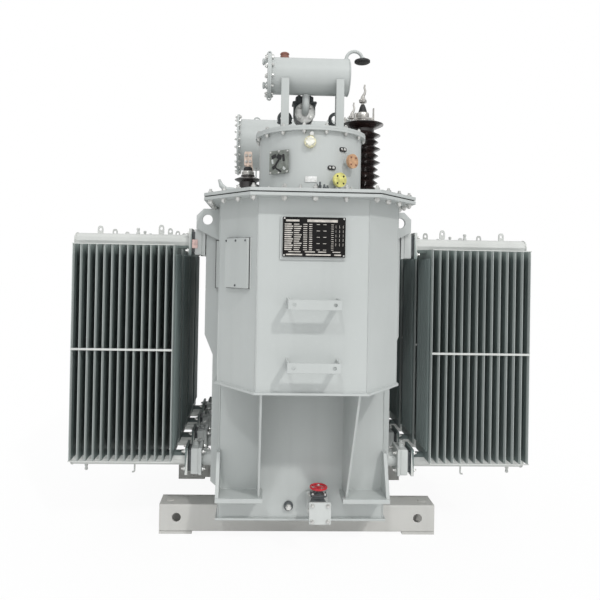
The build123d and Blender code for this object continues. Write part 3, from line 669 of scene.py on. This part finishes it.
def add_radiator_details(bm, side, row_y, number):
    """Pressed channels on the outer panels, eyes, vent and drain plugs, a hook, end caps and tie strips."""
    low = header_low + channel_inset
    high = header_high - channel_inset
    for panel_x, facing in ((panel_first_x, -1), (panel_last_x, 1)):
        x = side * (panel_x + facing * 5.5)
        for k in range(channel_count):
            y = row_y + (k - (channel_count - 1) / 2) * channel_pitch
            line = [(x, y, z) for z in (low - channel_taper, low, high, high + channel_taper)]
            add_tube(bm, line, [3, channel_radius, channel_radius, 3], 10)
    for share, tall in ((0.17, 62), (0.80, 50)):
        x = side * (panel_first_x + share * panel_run)
        shoulder = tall - 14
        eye = [(-17, 0), (17, 0), (16, shoulder), (9, tall), (-9, tall), (-16, shoulder)]
        foot = placed((x, row_y, header_high + header_radius - 4), to_front)
        add_eye(bm, foot, eye, tall - 22, 9, 8, 1)
    plug_x = side * (panel_first_x + (0.36 + 0.05 * number) * panel_run)
    add_lathe(bm, plug_profile, placed((plug_x, row_y, header_high + header_radius - 3)), 12, 1)
    drain_plug_x = side * (panel_last_x - 60)
    add_lathe(bm, plug_profile, placed((drain_plug_x, row_y, header_low - header_radius + 3), down), 12, 1)
    hook_x = side * (panel_first_x + 0.40 * panel_run)
    hook_z = header_low - 82
    hook_radius = 10
    hook = [(hook_x, row_y, header_low - header_radius + 4), (hook_x, row_y, hook_z)]
    hook += arc((hook_x + side * hook_radius, row_y, hook_z), 180, 300, (side, 0, 0), up, hook_radius, 6)
    add_tube(bm, hook, 5, 8, 1)
    for level_z in (header_low, header_high):
        cap = placed((side * (panel_last_x + 18), row_y, level_z), (side, 0, 0))
        add_lathe(bm, header_cap_profile, cap, 32, 1)
    strip = block(panel_run / 2 + 4, 4)
    strip_x = side * (panel_first_x + panel_last_x) / 2
    for edge, level_z in product((-1, 1), (header_low + 22, header_high - 22)):
        place = placed((strip_x, row_y + edge * (panel_half_width + 1), level_z))
        add_prism(bm, strip, -2.5, 2.5, place, 1)


for side_name, side in sides:
    for number, row_y in enumerate(radiator_rows, start=1):
        bm = bmesh.new()
        add_radiator_details(bm, side, row_y, number)
        make_piece(f"radiator_fittings_{side_name}_{number}", bm, ["radiator_paint", "header_paint"])

# End flange of the small conservator: bolts, taps and hanging lugs
end_flange_half = 10
end_x = expansion_left - end_flange_half
bm = bmesh.new()
for angle, y, z in ring_places(turret_y, expansion_z, 107, 12, 0.5):
    add_bolt(bm, placed((end_x, y, z), to_left, angle), "end_flange_head", 1)
    add_bolt(bm, placed((expansion_left + end_flange_half, y, z), to_right, angle), "end_flange_nut", 1)
for rise, reach in ((66, 26), (-62, 24)):
    tap = [(20, 0), (20, 8), (13, 10), (13, reach - 10), (18, reach - 8), (18, reach), (10, reach + 3)]
    add_lathe(bm, tap, placed((end_x, turret_y - 30, expansion_z + rise), to_left), 20)
lug = [(-13, -20), (13, -20), (13, 14), (6, 22), (-6, 22), (-13, 14)]
for rise, turn in ((112, 0), (-112, math.pi)):
    add_eye(bm, placed((expansion_left, turret_y, expansion_z + rise), to_front, turn), lug, 10, 6, 12, 0)
make_piece("small_conservator_fittings", bm, ["tank_paint", "zinc"])

# Seam and domed far end of the small conservator
dome_profile = [(expansion_radius + 1.5, 0), (expansion_radius + 3, 3), (expansion_radius + 1.5, 6),
                (expansion_radius - 4, 8), (expansion_radius * 0.7, 10), (20, 11.5)]
bm = bmesh.new()
add_lathe(bm, dome_profile, placed((expansion_right - 2, turret_y, expansion_z), to_right), 64)
make_piece("small_conservator_seams", bm, ["tank_paint"])

# Filler cap and vent cap, in place of the plain ones
filler_low, filler_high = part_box("filler_cap")
filler = placed(((filler_low.x + filler_high.x) / 2 * metre, turret_y, filler_low.z * metre))
filler_profile = [(24, -4), (24, 10), (21.5, 12), (21.5, 17), (23.6, 19), (23.2, 25), (18, 30), (8, 33.5),
                  (2, 34)]
bm = bmesh.new()
add_lathe(bm, filler_profile, filler)
for angle in around(10):
    ridge = moved(filler @ Matrix.Rotation(angle, 4, "Z"), 22.5)
    add_prism(bm, block(2.2, 2.2), 18, 26, ridge)
make_piece("filler_cap_detail", bm, ["filler_brown"], replaced=("filler_cap",))

vent_low, vent_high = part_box("vent_cap")
vent_cap_x = (vent_low.x + vent_high.x) / 2 * metre
vent_cap = placed((vent_cap_x, turret_y, vent_low.z * metre))
vent_profile = [(26, 0), (36, 1), (42.5, 6), (43, 12), (40, 17), (26, 21.5), (14, 23.5), (13, 26), (4, 26.2)]
bm = bmesh.new()
add_lathe(bm, vent_profile, vent_cap, 40)
for _, x, y in ring_places(0, 0, 40.5, 16):
    add_tube(bm, [vent_cap @ Vector((x, y, z)) for z in (4, 15)], 2.6, 6)
make_piece("vent_cap_detail", bm, ["black_rubber"], replaced=("vent_cap",))

bm = bmesh.new()
collar_profile = [(17, -6), (17, 4), (12, 7), (9.5, 9.5)]
add_lathe(bm, collar_profile, placed((vent_x, turret_y, expansion_z + expansion_radius)), 20)
neck_profile = [(9.4, 0), (14, 2), (14, 12), (9.4, 14)]
add_lathe(bm, neck_profile, placed((vent_cap_x, turret_y, vent_high.z * metre - 1)), 20)
make_piece("vent_collars", bm, ["tank_paint"])

# Gas relay: bolted flanges, dark ribbed housing with its terminal box, and test taps
relay_start = placed((relay_x, relay_front_y, relay_z), to_back)
front_flange = [(24, 0), (54, 0), (57, 2), (57, 9), (55, 10), (24, 10)]
rear_flange = [(24, 120), (57, 120), (57, 130), (24, 130)]
relay_barrel = [(44, 10), (53, 20), (53, 110), (44, 120)]
bm = bmesh.new()
add_lathe(bm, front_flange, relay_start, 48)
add_lathe(bm, rear_flange, relay_start, 48)
add_lathe(bm, relay_barrel, relay_start, 32, 1)
for _, x, z in ring_places(relay_x, relay_z, 41, 4, 0.5):
    add_bolt(bm, placed((x, relay_front_y, z), to_front, 0.3), "relay")
housing = placed((relay_x, relay_front_y + 65, relay_z))
add_prism(bm, block(60, 42, 8), -8, 58, housing, 1, 4)
add_prism(bm, block(68, 48, 10), 58, 68, housing, 1, 2)
add_prism(bm, block(50, 34, 12), 68, 100, housing, 1, 4)
for x in (-29.4, 29.4):
    add_lathe(bm, [(12, 100), (12, 108), (7, 110), (7, 118)], moved(housing, x), 12, 1)
relay_slots = ["zinc", "dark_fitting"]
make_piece("gas_relay_detail", bm, relay_slots, replaced=("gas_relay",))

# Lifting eyes on the lid: a cast clamp, a shackle bow and its nuts
clamp_profile = [(26, 0), (26, 10), (20, 14), (18, 80), (24, 86), (24, 100), (16, 104)]
bm = bmesh.new()
for eye_x in (-137, 153):
    clamp = placed((eye_x, lid_eye_y, turret_top))
    add_lathe(bm, clamp_profile, clamp, 20)
    bow = arc((eye_x, lid_eye_y, turret_top + 130), -60, 240, to_right, up, 33, 20)
    add_tube(bm, bow, 9.5)
    for way in (-1, 1):
        nut = placed((eye_x + way * 22, lid_eye_y, turret_top + 106), (way, 0, 0))
        add_bolt(bm, nut, "lid_eye")
make_piece("lid_eye_details", bm, ["dark_fitting"], replaced=("lid_eyes",))


# Turret fittings are set by their angle from the front
def on_turret(angle, height, out=0):
    """Matrix on the turret's wall, facing outwards."""
    turn = math.radians(angle)
    direction = Vector((math.sin(turn), -math.cos(turn), 0))
    return placed(Vector((0, turret_y, height)) + direction * (turret_radius + out), direction)


sight_angle = -5
sight_z = 2277
sight_turn = 38
sight = on_turret(sight_angle, sight_z)
sight_profile = [(30, -1), (30, 8), (28.5, 11), (28.5, 20), (24, 24), (10, 26)]
window = sight @ Matrix.Rotation(math.radians(sight_turn), 4, "Z")
bm = bmesh.new()
add_lathe(bm, sight_profile, sight, 40)
add_prism(bm, block(19, 19, 4), 16, 31, window, 1, 2)
for _, x, y in ring_places(0, 0, 22.5, 4, sight_turn / 90):
    add_bolt(bm, moved(sight, x, y, 22), "oil_sight", 2)
sight_vent = on_turret(sight_angle + 1.5, sight_z + 40)
add_lathe(bm, [(12, -2), (12, 20), (9, 24)], sight_vent, 16, 2)
make_piece("oil_sight_detail", bm, ["sight_glass", "cream", "zinc"], replaced=("oil_sight",))

# Turret plate: screws, and dark clamps and pads on its face
plate_frame = on_turret(-38, 2182, 14)
screw = 52
bm = bmesh.new()
for x, y in ((-screw, screw), (screw, screw), (screw, -screw), (-screw, -screw), (0, 54), (0, -54)):
    add_bolt(bm, moved(plate_frame, x, y), "turret_plate")
for x, y, half_x, half_y, turn, mark in (
    (-30, 30, 15, 9, 0.3, 1),
    (4, 26, 14, 12, -0.4, 1),
    (30, 20, 6, 18, 0.1, 1),
    (-10, -2, 20, 5, 0.9, 1),
    (16, -18, 12, 16, 0.2, 2),
    (-28, -24, 12, 8, 0.5, 1),
    (0, -40, 20, 4, -0.5, 1),
    (34, -34, 6, 10, 0.8, 3),
    (-38, 4, 5, 12, 0.2, 3),
):
    spot = moved(plate_frame, x, y) @ Matrix.Rotation(turn, 4, "Z")
    add_prism(bm, block(half_x, half_y, 3), 0, 3.5, spot, mark, 1)
plate_slots = ["zinc", "black_rubber", "turret_plate", "valve_metal"]
make_piece("turret_plate_fittings", bm, plate_slots)

# Rubber pads with a screw and a pin, and a white tag
bm = bmesh.new()
for angle, height in ((32.0, 2251), (18.3, 2153)):
    pad = on_turret(angle, height)
    add_prism(bm, block(22, 11, 10), -2, 6, pad, 0, 1)
    add_lathe(bm, [(7, 5), (7, 12), (5, 14)], moved(pad, 6), 12, 1)
    add_lathe(bm, [(5, 5), (5, 10), (3, 11)], moved(pad, -12), 12, 1)
make_piece("turret_pads", bm, ["black_rubber", "zinc"])

bm = bmesh.new()
add_prism(bm, block(29, 14, 2), 0, 3, on_turret(-3.5, 2092, 1))
make_piece("turret_tag", bm, ["white_tag"])

# Bolted faces of the two capped ports
port_reach = 46
for name, slot_name, angle, height in (
    ("port_lower_bolts", "black_rubber", 23.5, 2090),
    ("port_upper_bolts", "filler_brown", 38, 2191),
):
    bm = bmesh.new()
    for _, x, y in ring_places(0, 0, 25, 4, 0.5):
        add_bolt(bm, moved(on_turret(angle, height, port_reach), x, y), "port")
    make_piece(name, bm, [slot_name])

# Low fittings on the cover in front of the turret
bm = bmesh.new()
for x, y, tall in ((6, -1300, 26), (22, -1290, 38), (42, -1300, 24), (58, -1296, 20)):
    pin = [(8, 0), (8, tall * 0.5), (5, tall * 0.55), (5, tall * 0.9), (3, tall)]
    add_lathe(bm, pin, placed((x, y, cover_top)), 10)
make_piece("cover_small_fittings", bm, ["dark_fitting"])

# Lifting hooks of the cover: reach, rise and radius along each horn
horn = ((-45, -10, 26), (-30, 10, 24), (5, 24, 20), (40, 30, 16), (66, 52, 13), (78, 84, 7))
bm = bmesh.new()
for x, y, turn in ((-415, -950, 2), (-420, 560, -20), (420, 560, 200)):
    matrix = placed((x, y, cover_top), up, math.radians(turn))
    line = [matrix @ Vector((reach, 0, rise)) for reach, rise, _ in horn]
    add_tube(bm, line, [radius for _, _, radius in horn])
make_piece("cover_hooks", bm, ["tank_paint"])

# Main conservator: flange bolts, seams and lifting eyes
bm = bmesh.new()
for side in (-1, 1):
    for angle, y, z in ring_places(drum_y, drum_z, 229, 24):
        add_bolt(bm, placed((side * drum_half_length, y, z), (side, 0, 0), angle), "drum_head", 1)
        nut_x = side * (drum_half_length - drum_flange)
        add_bolt(bm, placed((nut_x, y, z), (-side, 0, 0), angle), "drum_nut", 1)
seam_profile = [(drum_radius - 1, -4), (drum_radius + 2, 0), (drum_radius - 1, 4)]
for x in (-160, 160):
    add_lathe(bm, seam_profile, placed((x, drum_y, drum_z), to_right), 64)
make_piece("main_conservator_fittings", bm, ["tank_paint", "zinc"])

bm = bmesh.new()
for x, hoop_radius, wire in ((0, 30, 7), (-300, 24, 6), (300, 24, 6)):
    foot = (x, drum_y, drum_z + drum_radius - 4)
    add_tube(bm, arc(foot, 0, 180, to_right, up, hoop_radius, 14), wire, 10)
make_piece("main_conservator_eyes", bm, ["tank_paint"])

# High voltage terminals: plated cap, black cone, clamp and a bent tail
cap_profile = [(50, -4), (52, 2), (46, 8), (38, 10), (38, 34), (34, 40), (23, 42)]
cone_profile = [(26, 41), (25, 50), (18, 74), (13, 86), (11, 90)]
stud_clamp_profile = [(9, 88), (9, 100), (21, 104), (22, 118), (16, 124), (11, 140)]
# Sideways reach, height and radius along the tail
tail = ((4, 118, 10), (0, 140, 10), (-10, 158, 8), (-14, 176, 6.5), (-8, 194, 6), (-11, 212, 5))
bm = bmesh.new()
for row, row_y in enumerate(hv_rows):
    top = placed((hv_x, row_y, hv_cap_z))
    add_lathe(bm, cap_profile, top, 40)
    add_lathe(bm, cone_profile, top, 32, 1)
    horn_top = 92 if row else 70
    add_prism(bm, block(5, 16, 3), -2, 38, moved(top, 44), 0, 1)
    add_prism(bm, block(10, 20, 3), -2, 10, moved(top, -56), 0, 1)
    add_prism(bm, block(3.5, 12, 2), 0, horn_top, moved(top, -66), 0, 1)
    add_lathe(bm, stud_clamp_profile, top, 20)
    add_prism(bm, block(24, 9, 4), 103, 121, top @ Matrix.Rotation(0.5, 4, "Z"), 0, 2)
    clamp_bolt = moved(top, 20, 8, 112) @ Matrix.Rotation(math.pi / 2, 4, "X")
    add_bolt(bm, clamp_bolt, "hv_clamp", 2)
    line = [top @ Vector((x, 0, z)) for x, z, _ in tail]
    add_tube(bm, line, [radius for _, _, radius in tail], 10)
hv_slots = ["terminal_steel", "black_rubber", "zinc"]
make_piece("hv_terminal_details", bm, hv_slots, replaced=("hv_terminals",))

# Low voltage terminals: plated ring, black collar and a copper flag with its bolts
ring_profile = [(34, -1), (36, 4), (36, 18), (32, 24), (24, 26)]
lv_collar_profile = [(26, 25), (26, 40), (22, 46), (16, 50)]
stem_profile = [(15, 48), (15, 60), (11, 62)]
flag_outline = [(-23, 56), (23, 56), (23, 132), (17, 139), (-17, 139), (-23, 132)]
flag_half = 6
bm = bmesh.new()
for row_y in lv_rows:
    base = placed((lv_x, row_y, lv_ring_z))
    add_lathe(bm, ring_profile, base, 32, 1)
    add_lathe(bm, lv_collar_profile, base, 28, 2)
    add_lathe(bm, stem_profile, base, 20)
    upright = base @ Matrix.Rotation(math.pi / 2, 4, "X")
    add_prism(bm, flag_outline, -flag_half, flag_half, upright, 0, 1.5)
    for x, z, face in product((-11, 11), (80, 116), (-1, 1)):
        place = (lv_x + x, row_y + face * flag_half, lv_ring_z + z)
        add_bolt(bm, placed(place, (0, face, 0)), "lv_flag", 1)
lv_slots = ["copper", "terminal_steel", "black_rubber"]
make_piece("lv_terminal_details", bm, lv_slots, replaced=("lv_terminals",))

# Bolts in the clamping rings of the high voltage bushings
bm = bmesh.new()
for row_y in hv_rows:
    for _, x, y in ring_places(hv_x, row_y, 96, 8):
        add_bolt(bm, placed((x, y, hv_base_top)), "hv_base")
make_piece("hv_base_bolts", bm, ["zinc"])

# Rating plate: a pale tray behind it, rows of plain bars on its face, and rivets
bm = bmesh.new()
tray = placed((-5, nose_front_y, plate_z - 7), to_front)
add_prism(bm, block(162.5, 106, 4), 1, 9, tray, 0, 2)
make_piece("rating_plate_tray", bm, ["tank_paint"])

plate_face = placed((0, plate_front_y, plate_z), to_front)


def add_bar(bm, x, z, width, height):
    """One raised bar on the plate, by its left end and middle height."""
    add_prism(bm, block(width / 2, height / 2), 0, 0.6, moved(plate_face, x + width / 2, z))


bm = bmesh.new()
add_bar(bm, -35, 80, 150, 12.5)
add_bar(bm, -140, 80, 66, 9.5)
bar_rows = 13
bar_pitch = 10.4
first_bar_z = 62
thin_bar = 2.6
for k in range(bar_rows):
    z = first_bar_z - k * bar_pitch
    add_bar(bm, -146, z, 34 + 4 * ((k * 5) % 3), 5.8)
    add_bar(bm, -100, z, 26 + 4 * ((k * 7) % 4), 4.8)
    add_bar(bm, -54, z, 19, 4)
    add_bar(bm, -25, z, 15, 4)
    if k % 3 == 0:
        add_bar(bm, 12, z, 16, thin_bar)
        add_bar(bm, 44, z, 16, thin_bar)
    add_bar(bm, 84, z, 12, thin_bar)
for x in (106, 124, 142):
    for k in range(5):
        add_bar(bm, x, 52 - k * 22, 1.6, 14)
for z, height, bars in (
    (-73, 4.6, ((-126, 60), (-45, 50), (20, 40), (92, 38))),
    (-87, 6.8, ((-138, 80), (-40, 122), (100, 34))),
):
    for x, width in bars:
        add_bar(bm, x, z, width, height)
make_piece("rating_plate_bars", bm, ["plate_marks"])

rivet_profile = [(4.5, 0), (4, 1.8), (1.5, 2.6)]
bm = bmesh.new()
for x, y in product((-147, 147), (-91, 91)):
    add_lathe(bm, rivet_profile, moved(plate_face, x, y), 12)
make_piece("rating_plate_rivets", bm, ["zinc"])

# Handhole cover on the left slanting wall: screws, weld round its frame, and a black strip under its edge
# that is painted shade for the gap round the cover
slant_run = tank_half_width - nose_front_half_width
slant_depth = nose_corner_y - nose_front_y
slant_normal = Vector((-slant_depth, -slant_run, 0)).normalized()
slant_along = Vector((slant_run, -slant_depth, 0)).normalized()
slant_middle = Vector((-(tank_half_width + nose_front_half_width), nose_corner_y + nose_front_y, 0)) / 2
slant_middle += Vector((0, 0, handhole_z)) + slant_along * handhole_shift
handhole_face = placed(slant_middle + slant_normal * 24, slant_normal)
screw_profile = [(5.5, 0), (5.5, 3), (3, 4.5)]
bm = bmesh.new()
for x, y in ((-80, 114), (0, 114), (80, 114), (0, -114)):
    add_lathe(bm, screw_profile, moved(handhole_face, x, y), 12)
make_piece("handhole_screws", bm, ["dark_fitting"])

bm = bmesh.new()
rim_matrix = placed(slant_middle, slant_normal)
rings = []
for half_x, half_y, out in ((93, 127, 0), (99, 133, 0), (96, 130, 5), (93, 127, 6)):
    rings.append([rim_matrix @ Vector((x, y, out)) for x, y in block(half_x, half_y, 6)])
add_rings(bm, rings, False, 0)
make_piece("handhole_weld", bm, ["tank_paint"])

# Painted shade: a black strip a little larger than the cover shows as a dark line round its edge
bm = bmesh.new()
add_prism(bm, block(96.2, 130, 3), 0.5, 8.5, rim_matrix)
make_piece("handhole_shade_strip", bm, ["black_rubber"])

# Upright bracket on the front end of the left oil duct: a pale front plate on a dark strip, which is painted
# shade for the dark gap behind it
bm = bmesh.new()
bracket = placed((-511, -duct_half_length, 1656), to_front)
# Painted shade: the black body under the pale front plate
add_prism(bm, block(14.5, 142), -1, 30, bracket, 1, 1)
add_prism(bm, block(10.5, 139), 30, 34, bracket)
make_piece("duct_bracket", bm, ["tank_paint", "black_rubber"])

# Weld beads, as low ripples along the joints
bead_radius = 4.2


def add_bead(bm, start, end, radius=bead_radius):
    """A weld bead with small ripples: a ring for each 6 mm of its length, counted in metres."""
    in_metres = [Vector([value / metre for value in place]) for place in (start, end)]
    count = max(6, int((in_metres[1] - in_metres[0]).length / 0.006))
    start, end = Vector(start), Vector(end)
    points = [start.lerp(end, i / count) for i in range(count + 1)]
    radii = [radius * (1.0 + 0.14 * math.sin(i * 2.4)) for i in range(count + 1)]
    add_tube(bm, points, radii, 6)


def add_upright_bead(bm, x, y, low, high, radius=bead_radius):
    """A bead up a corner or an edge."""
    add_bead(bm, (x, y, low), (x, y, high), radius)


def add_level_bead(bm, start, end, height, radius=bead_radius):
    """A bead at one height, between two places in plan."""
    add_bead(bm, (*start, height), (*end, height), radius)


nose_seam_low = 1030
nose_seam_high = 1990
gusset_top = 1022
under_nose = 1016
above_pad = 360
pad_gusset_top = 582
wall_foot = 196
bm = bmesh.new()
for side in (-1, 1):
    nose_corner = (side * tank_half_width, nose_corner_y)
    wall_corner = (side * tank_half_width, front_wall_y)
    front_corner = (side * nose_front_half_width, nose_front_y)
    for offset in (-gusset_half, gusset_half):
        x = side * gusset_x + offset
        add_upright_bead(bm, x, front_wall_y, above_pad, under_nose)
        add_level_bead(bm, (x, front_wall_y), (x, nose_front_y + 20), gusset_top)
    add_upright_bead(bm, *nose_corner, nose_seam_low, nose_seam_high, 3.5)
    add_upright_bead(bm, *front_corner, nose_seam_low, nose_seam_high, 3)
    add_upright_bead(bm, *wall_corner, wall_foot, under_nose - 4, 4)
    for level in pad_levels:
        add_level_bead(bm, (side * pad_inner_x, front_wall_y), wall_corner, level)
    for x in (470, 490):
        add_upright_bead(bm, side * x, front_wall_y, above_pad, pad_gusset_top)
    add_level_bead(bm, front_corner, nose_corner, nose_bottom)
    add_level_bead(bm, nose_corner, wall_corner, nose_bottom)
for half, y, height in (
    (tank_half_width, front_wall_y, wall_foot - 2),
    (nose_front_half_width, nose_front_y, nose_bottom),
):
    add_level_bead(bm, (-half, y), (half, y), height)
make_piece("weld_beads_front", bm, ["tank_paint"])

bm = bmesh.new()
for side in (-1, 1):
    wall_x = side * tank_half_width
    for y in (-duct_half_length, duct_half_length):
        add_upright_bead(bm, wall_x, y, duct_bottom, duct_top)
    for level in (duct_top, duct_bottom):
        add_level_bead(bm, (wall_x, -duct_half_length), (wall_x, duct_half_length), level)
    for level in step_levels:
        for height in (level, level + step_height):
            add_level_bead(bm, (side * 120, nose_front_y), (side * 130, nose_front_y), height, 3)
        add_upright_bead(bm, side * 129, nose_front_y, level, level + step_height, 3)
make_piece("weld_beads_sides", bm, ["tank_paint"])

# Sampling plug: hexagon body with a bright nut
bm = bmesh.new()
plug = placed((-72, front_wall_y, 263), to_front)
add_lathe(bm, [(27, 0), (27, 14), (25, 20), (23, 22)], plug)
add_lathe(bm, [(19, 22), (19, 32), (16, 35)], plug, 6, 1)
add_lathe(bm, [(10, 34), (10, 40), (7, 42)], plug, 16, 1)
make_piece("sampling_plug_detail", bm, ["dark_fitting", "zinc"], replaced=("sampling_plug",))

# Drain valve: dark body between square flanges, bolted bonnet, gland and stem
flange = 14
rear_flange_start = 155
flange_bolt = 43
valve_body_profile = [(40, flange), (46, 30), (50, 60), (52, 90), (48, 125), (40, rear_flange_start)]
inward = placed((drain_x, drain_face_y, drain_z), to_back)
bm = bmesh.new()
for start in (0, rear_flange_start):
    add_prism(bm, block(60, 60, 6), start, start + flange, inward, 0, 1.5)
add_lathe(bm, valve_body_profile, inward, 32, 1)
add_lathe(bm, [(36, 168), (36, 200), (44, 204.5)], inward)
for offset, rise in product((-flange_bolt, flange_bolt), repeat=2):
    x = drain_x + offset
    z = drain_z + rise
    add_bolt(bm, placed((x, drain_face_y, z), to_front, offset / 50), "drain_head", 2)
    add_bolt(bm, placed((x, drain_face_y + flange, z), to_back), "drain_nut", 2)
    add_bolt(bm, placed((x, drain_face_y + rear_flange_start, z), to_front), "drain_nut", 2)
bonnet_profile = [(34, 30), (32, 52), (40, 56), (40, 62)]
gland_profile = [(22, 71), (16, 78), (10, 86), (9, 93), (6, 95)]
column = placed((drain_x, wheel_y, drain_z))
add_lathe(bm, bonnet_profile, column, 28, 1)
add_prism(bm, block(46, 36, 12), 62, 72, column, 1, 1)
for x, y in product((-34, 34), (-24, 24)):
    add_bolt(bm, moved(column, x, y, 72), "bonnet", 2)
add_lathe(bm, gland_profile, column, 20, 1)
add_lathe(bm, [(5.8, 90), (5.8, 121), (4.5, 123)], column, 16, 2)
make_piece("drain_valve_detail", bm, ["valve_metal", "dark_fitting", "zinc"], replaced=("drain_valve",))

# Handwheel hub nut
bm = bmesh.new()
hub_nut = [(8.5, 0), (8.5, 5), (7, 6)]
add_lathe(bm, hub_nut, placed((drain_x, wheel_y, wheel_hub_top)), 6)
make_piece("handwheel_nut", bm, ["zinc"], "handwheel")

# Skid: anchor washers on top, and stiffening plates inside the beams
washer_profile = [(26, 0), (26, 4), (13.5, 4.5)]
bm = bmesh.new()
for facing in (-1, 1):
    for x in (-790, 790):
        add_lathe(bm, washer_profile, placed((x, facing * skid_y, skid_top)), 24)
    for x in (-620, 620):
        add_prism(bm, block(4, 70), 28, 167, placed((x, facing * (skid_y - 5), 0)), 0, 1)
make_piece("skid_fittings", bm, ["skid_paint"])

# Floor: white where it is seen, a matt white bounce to everything else
floor_material, tree, shader = new_material("floor")
shader.inputs["Roughness"].default_value = 0.9
shader.inputs["Specular IOR Level"].default_value = 0.1
light_path = tree.nodes.new("ShaderNodeLightPath")
seen = add_math(tree, "MAXIMUM", light_path.outputs["Is Camera Ray"], light_path.outputs["Is Glossy Ray"])
seen = add_math(tree, "MAXIMUM", seen, light_path.outputs["Is Transmission Ray"])
floor_tone = add_mix(tree, seen, (0.88, 0.88, 0.88), (0.94, 0.94, 0.94))
tree.links.new(floor_tone, shader.inputs["Base Color"])
glow = tree.nodes.new("ShaderNodeEmission")
glow.inputs["Color"].default_value = (1.0, 1.0, 1.0, 1.0)
blend = tree.nodes.new("ShaderNodeMixShader")
tree.links.new(add_math(tree, "MULTIPLY", seen, 0.94), blend.inputs[0])
tree.links.new(shader.outputs["BSDF"], blend.inputs[1])
tree.links.new(glow.outputs["Emission"], blend.inputs[2])
tree.links.new(blend.outputs["Shader"], tree.nodes["Material Output"].inputs["Surface"])
floor_half = 30.0
floor_corners = [(x * floor_half, y * floor_half, 0.0) for x, y in ((-1, -1), (1, -1), (1, 1), (-1, 1))]
floor_mesh = bpy.data.meshes.new("floor")
floor_mesh.from_pydata(floor_corners, [], [(0, 1, 2, 3)])
floor_mesh.materials.append(floor_material)
floor = add_object("floor", floor_mesh)

# World: a studio dome, brighter overhead and towards the camera; white where the camera sees it
world = bpy.data.worlds.new("studio")
bpy.context.scene.world = world
world.use_nodes = True
tree = world.node_tree
background = tree.nodes["Background"]
axes = split_axes(tree, "Generated")
overhead = add_range(tree, axes["Z"], 0.0, 0.9, 0.0, 0.85)
ahead = add_range(tree, axes["Y"], -0.1, -1.0, 0.0, 1.0)
dome = add_math(tree, "MAXIMUM", overhead, ahead)
dome_tone = add_mix(tree, dome, (0.27, 0.28, 0.28), (1.04, 1.05, 1.05))
light_path = tree.nodes.new("ShaderNodeLightPath")
dome_seen = add_mix(tree, light_path.outputs["Is Camera Ray"], dome_tone, (1.0, 1.0, 1.0))
tree.links.new(dome_seen, background.inputs["Color"])
background.inputs["Strength"].default_value = 1.0


# Two high lamps in front give the paired shadows
def add_lamp(name, towards, strength, spread, colour):
    """A distant lamp in a direction from the object, with its spread in degrees."""
    lamp_data = bpy.data.lights.new(name, "SUN")
    lamp_data.energy = strength
    lamp_data.angle = math.radians(spread)
    lamp_data.color = colour
    lamp = add_object(name, lamp_data)
    lamp.matrix_world = placed((0, 0, 5), towards)


add_lamp("lamp_right", (0.57, -1.0, 1.0), 0.95, 3.0, (1.0, 0.99, 0.97))
add_lamp("lamp_left", (-0.27, -1.0, 1.0), 0.40, 3.0, (0.98, 1.0, 1.0))

# Camera at the photograph's place
image_size = 600
focal_pixels = 583.6
principal_x = 275.8
principal_y = 256.3
sensor = 36.0
camera_data = bpy.data.cameras.new("camera")
camera_data.sensor_width = sensor
camera_data.lens = sensor * focal_pixels / image_size
camera_data.shift_x = (image_size / 2 - principal_x) / image_size
camera_data.shift_y = (principal_y - image_size / 2) / image_size
camera_data.clip_end = 200
camera = add_object("camera", camera_data)
camera_place = (-0.277, -4.130, 1.681)
camera_yaw, camera_pitch, camera_roll = (math.radians(turn) for turn in (1.80, 0.467, 1.02))
camera_turn = Matrix.Rotation(-camera_yaw, 4, "Z") @ Matrix.Rotation(math.pi / 2 + camera_pitch, 4, "X")
camera.matrix_world = Matrix.Translation(camera_place) @ camera_turn @ Matrix.Rotation(camera_roll, 4, "Z")
bpy.context.scene.camera = camera
bpy.context.scene.view_settings.view_transform = "Standard"
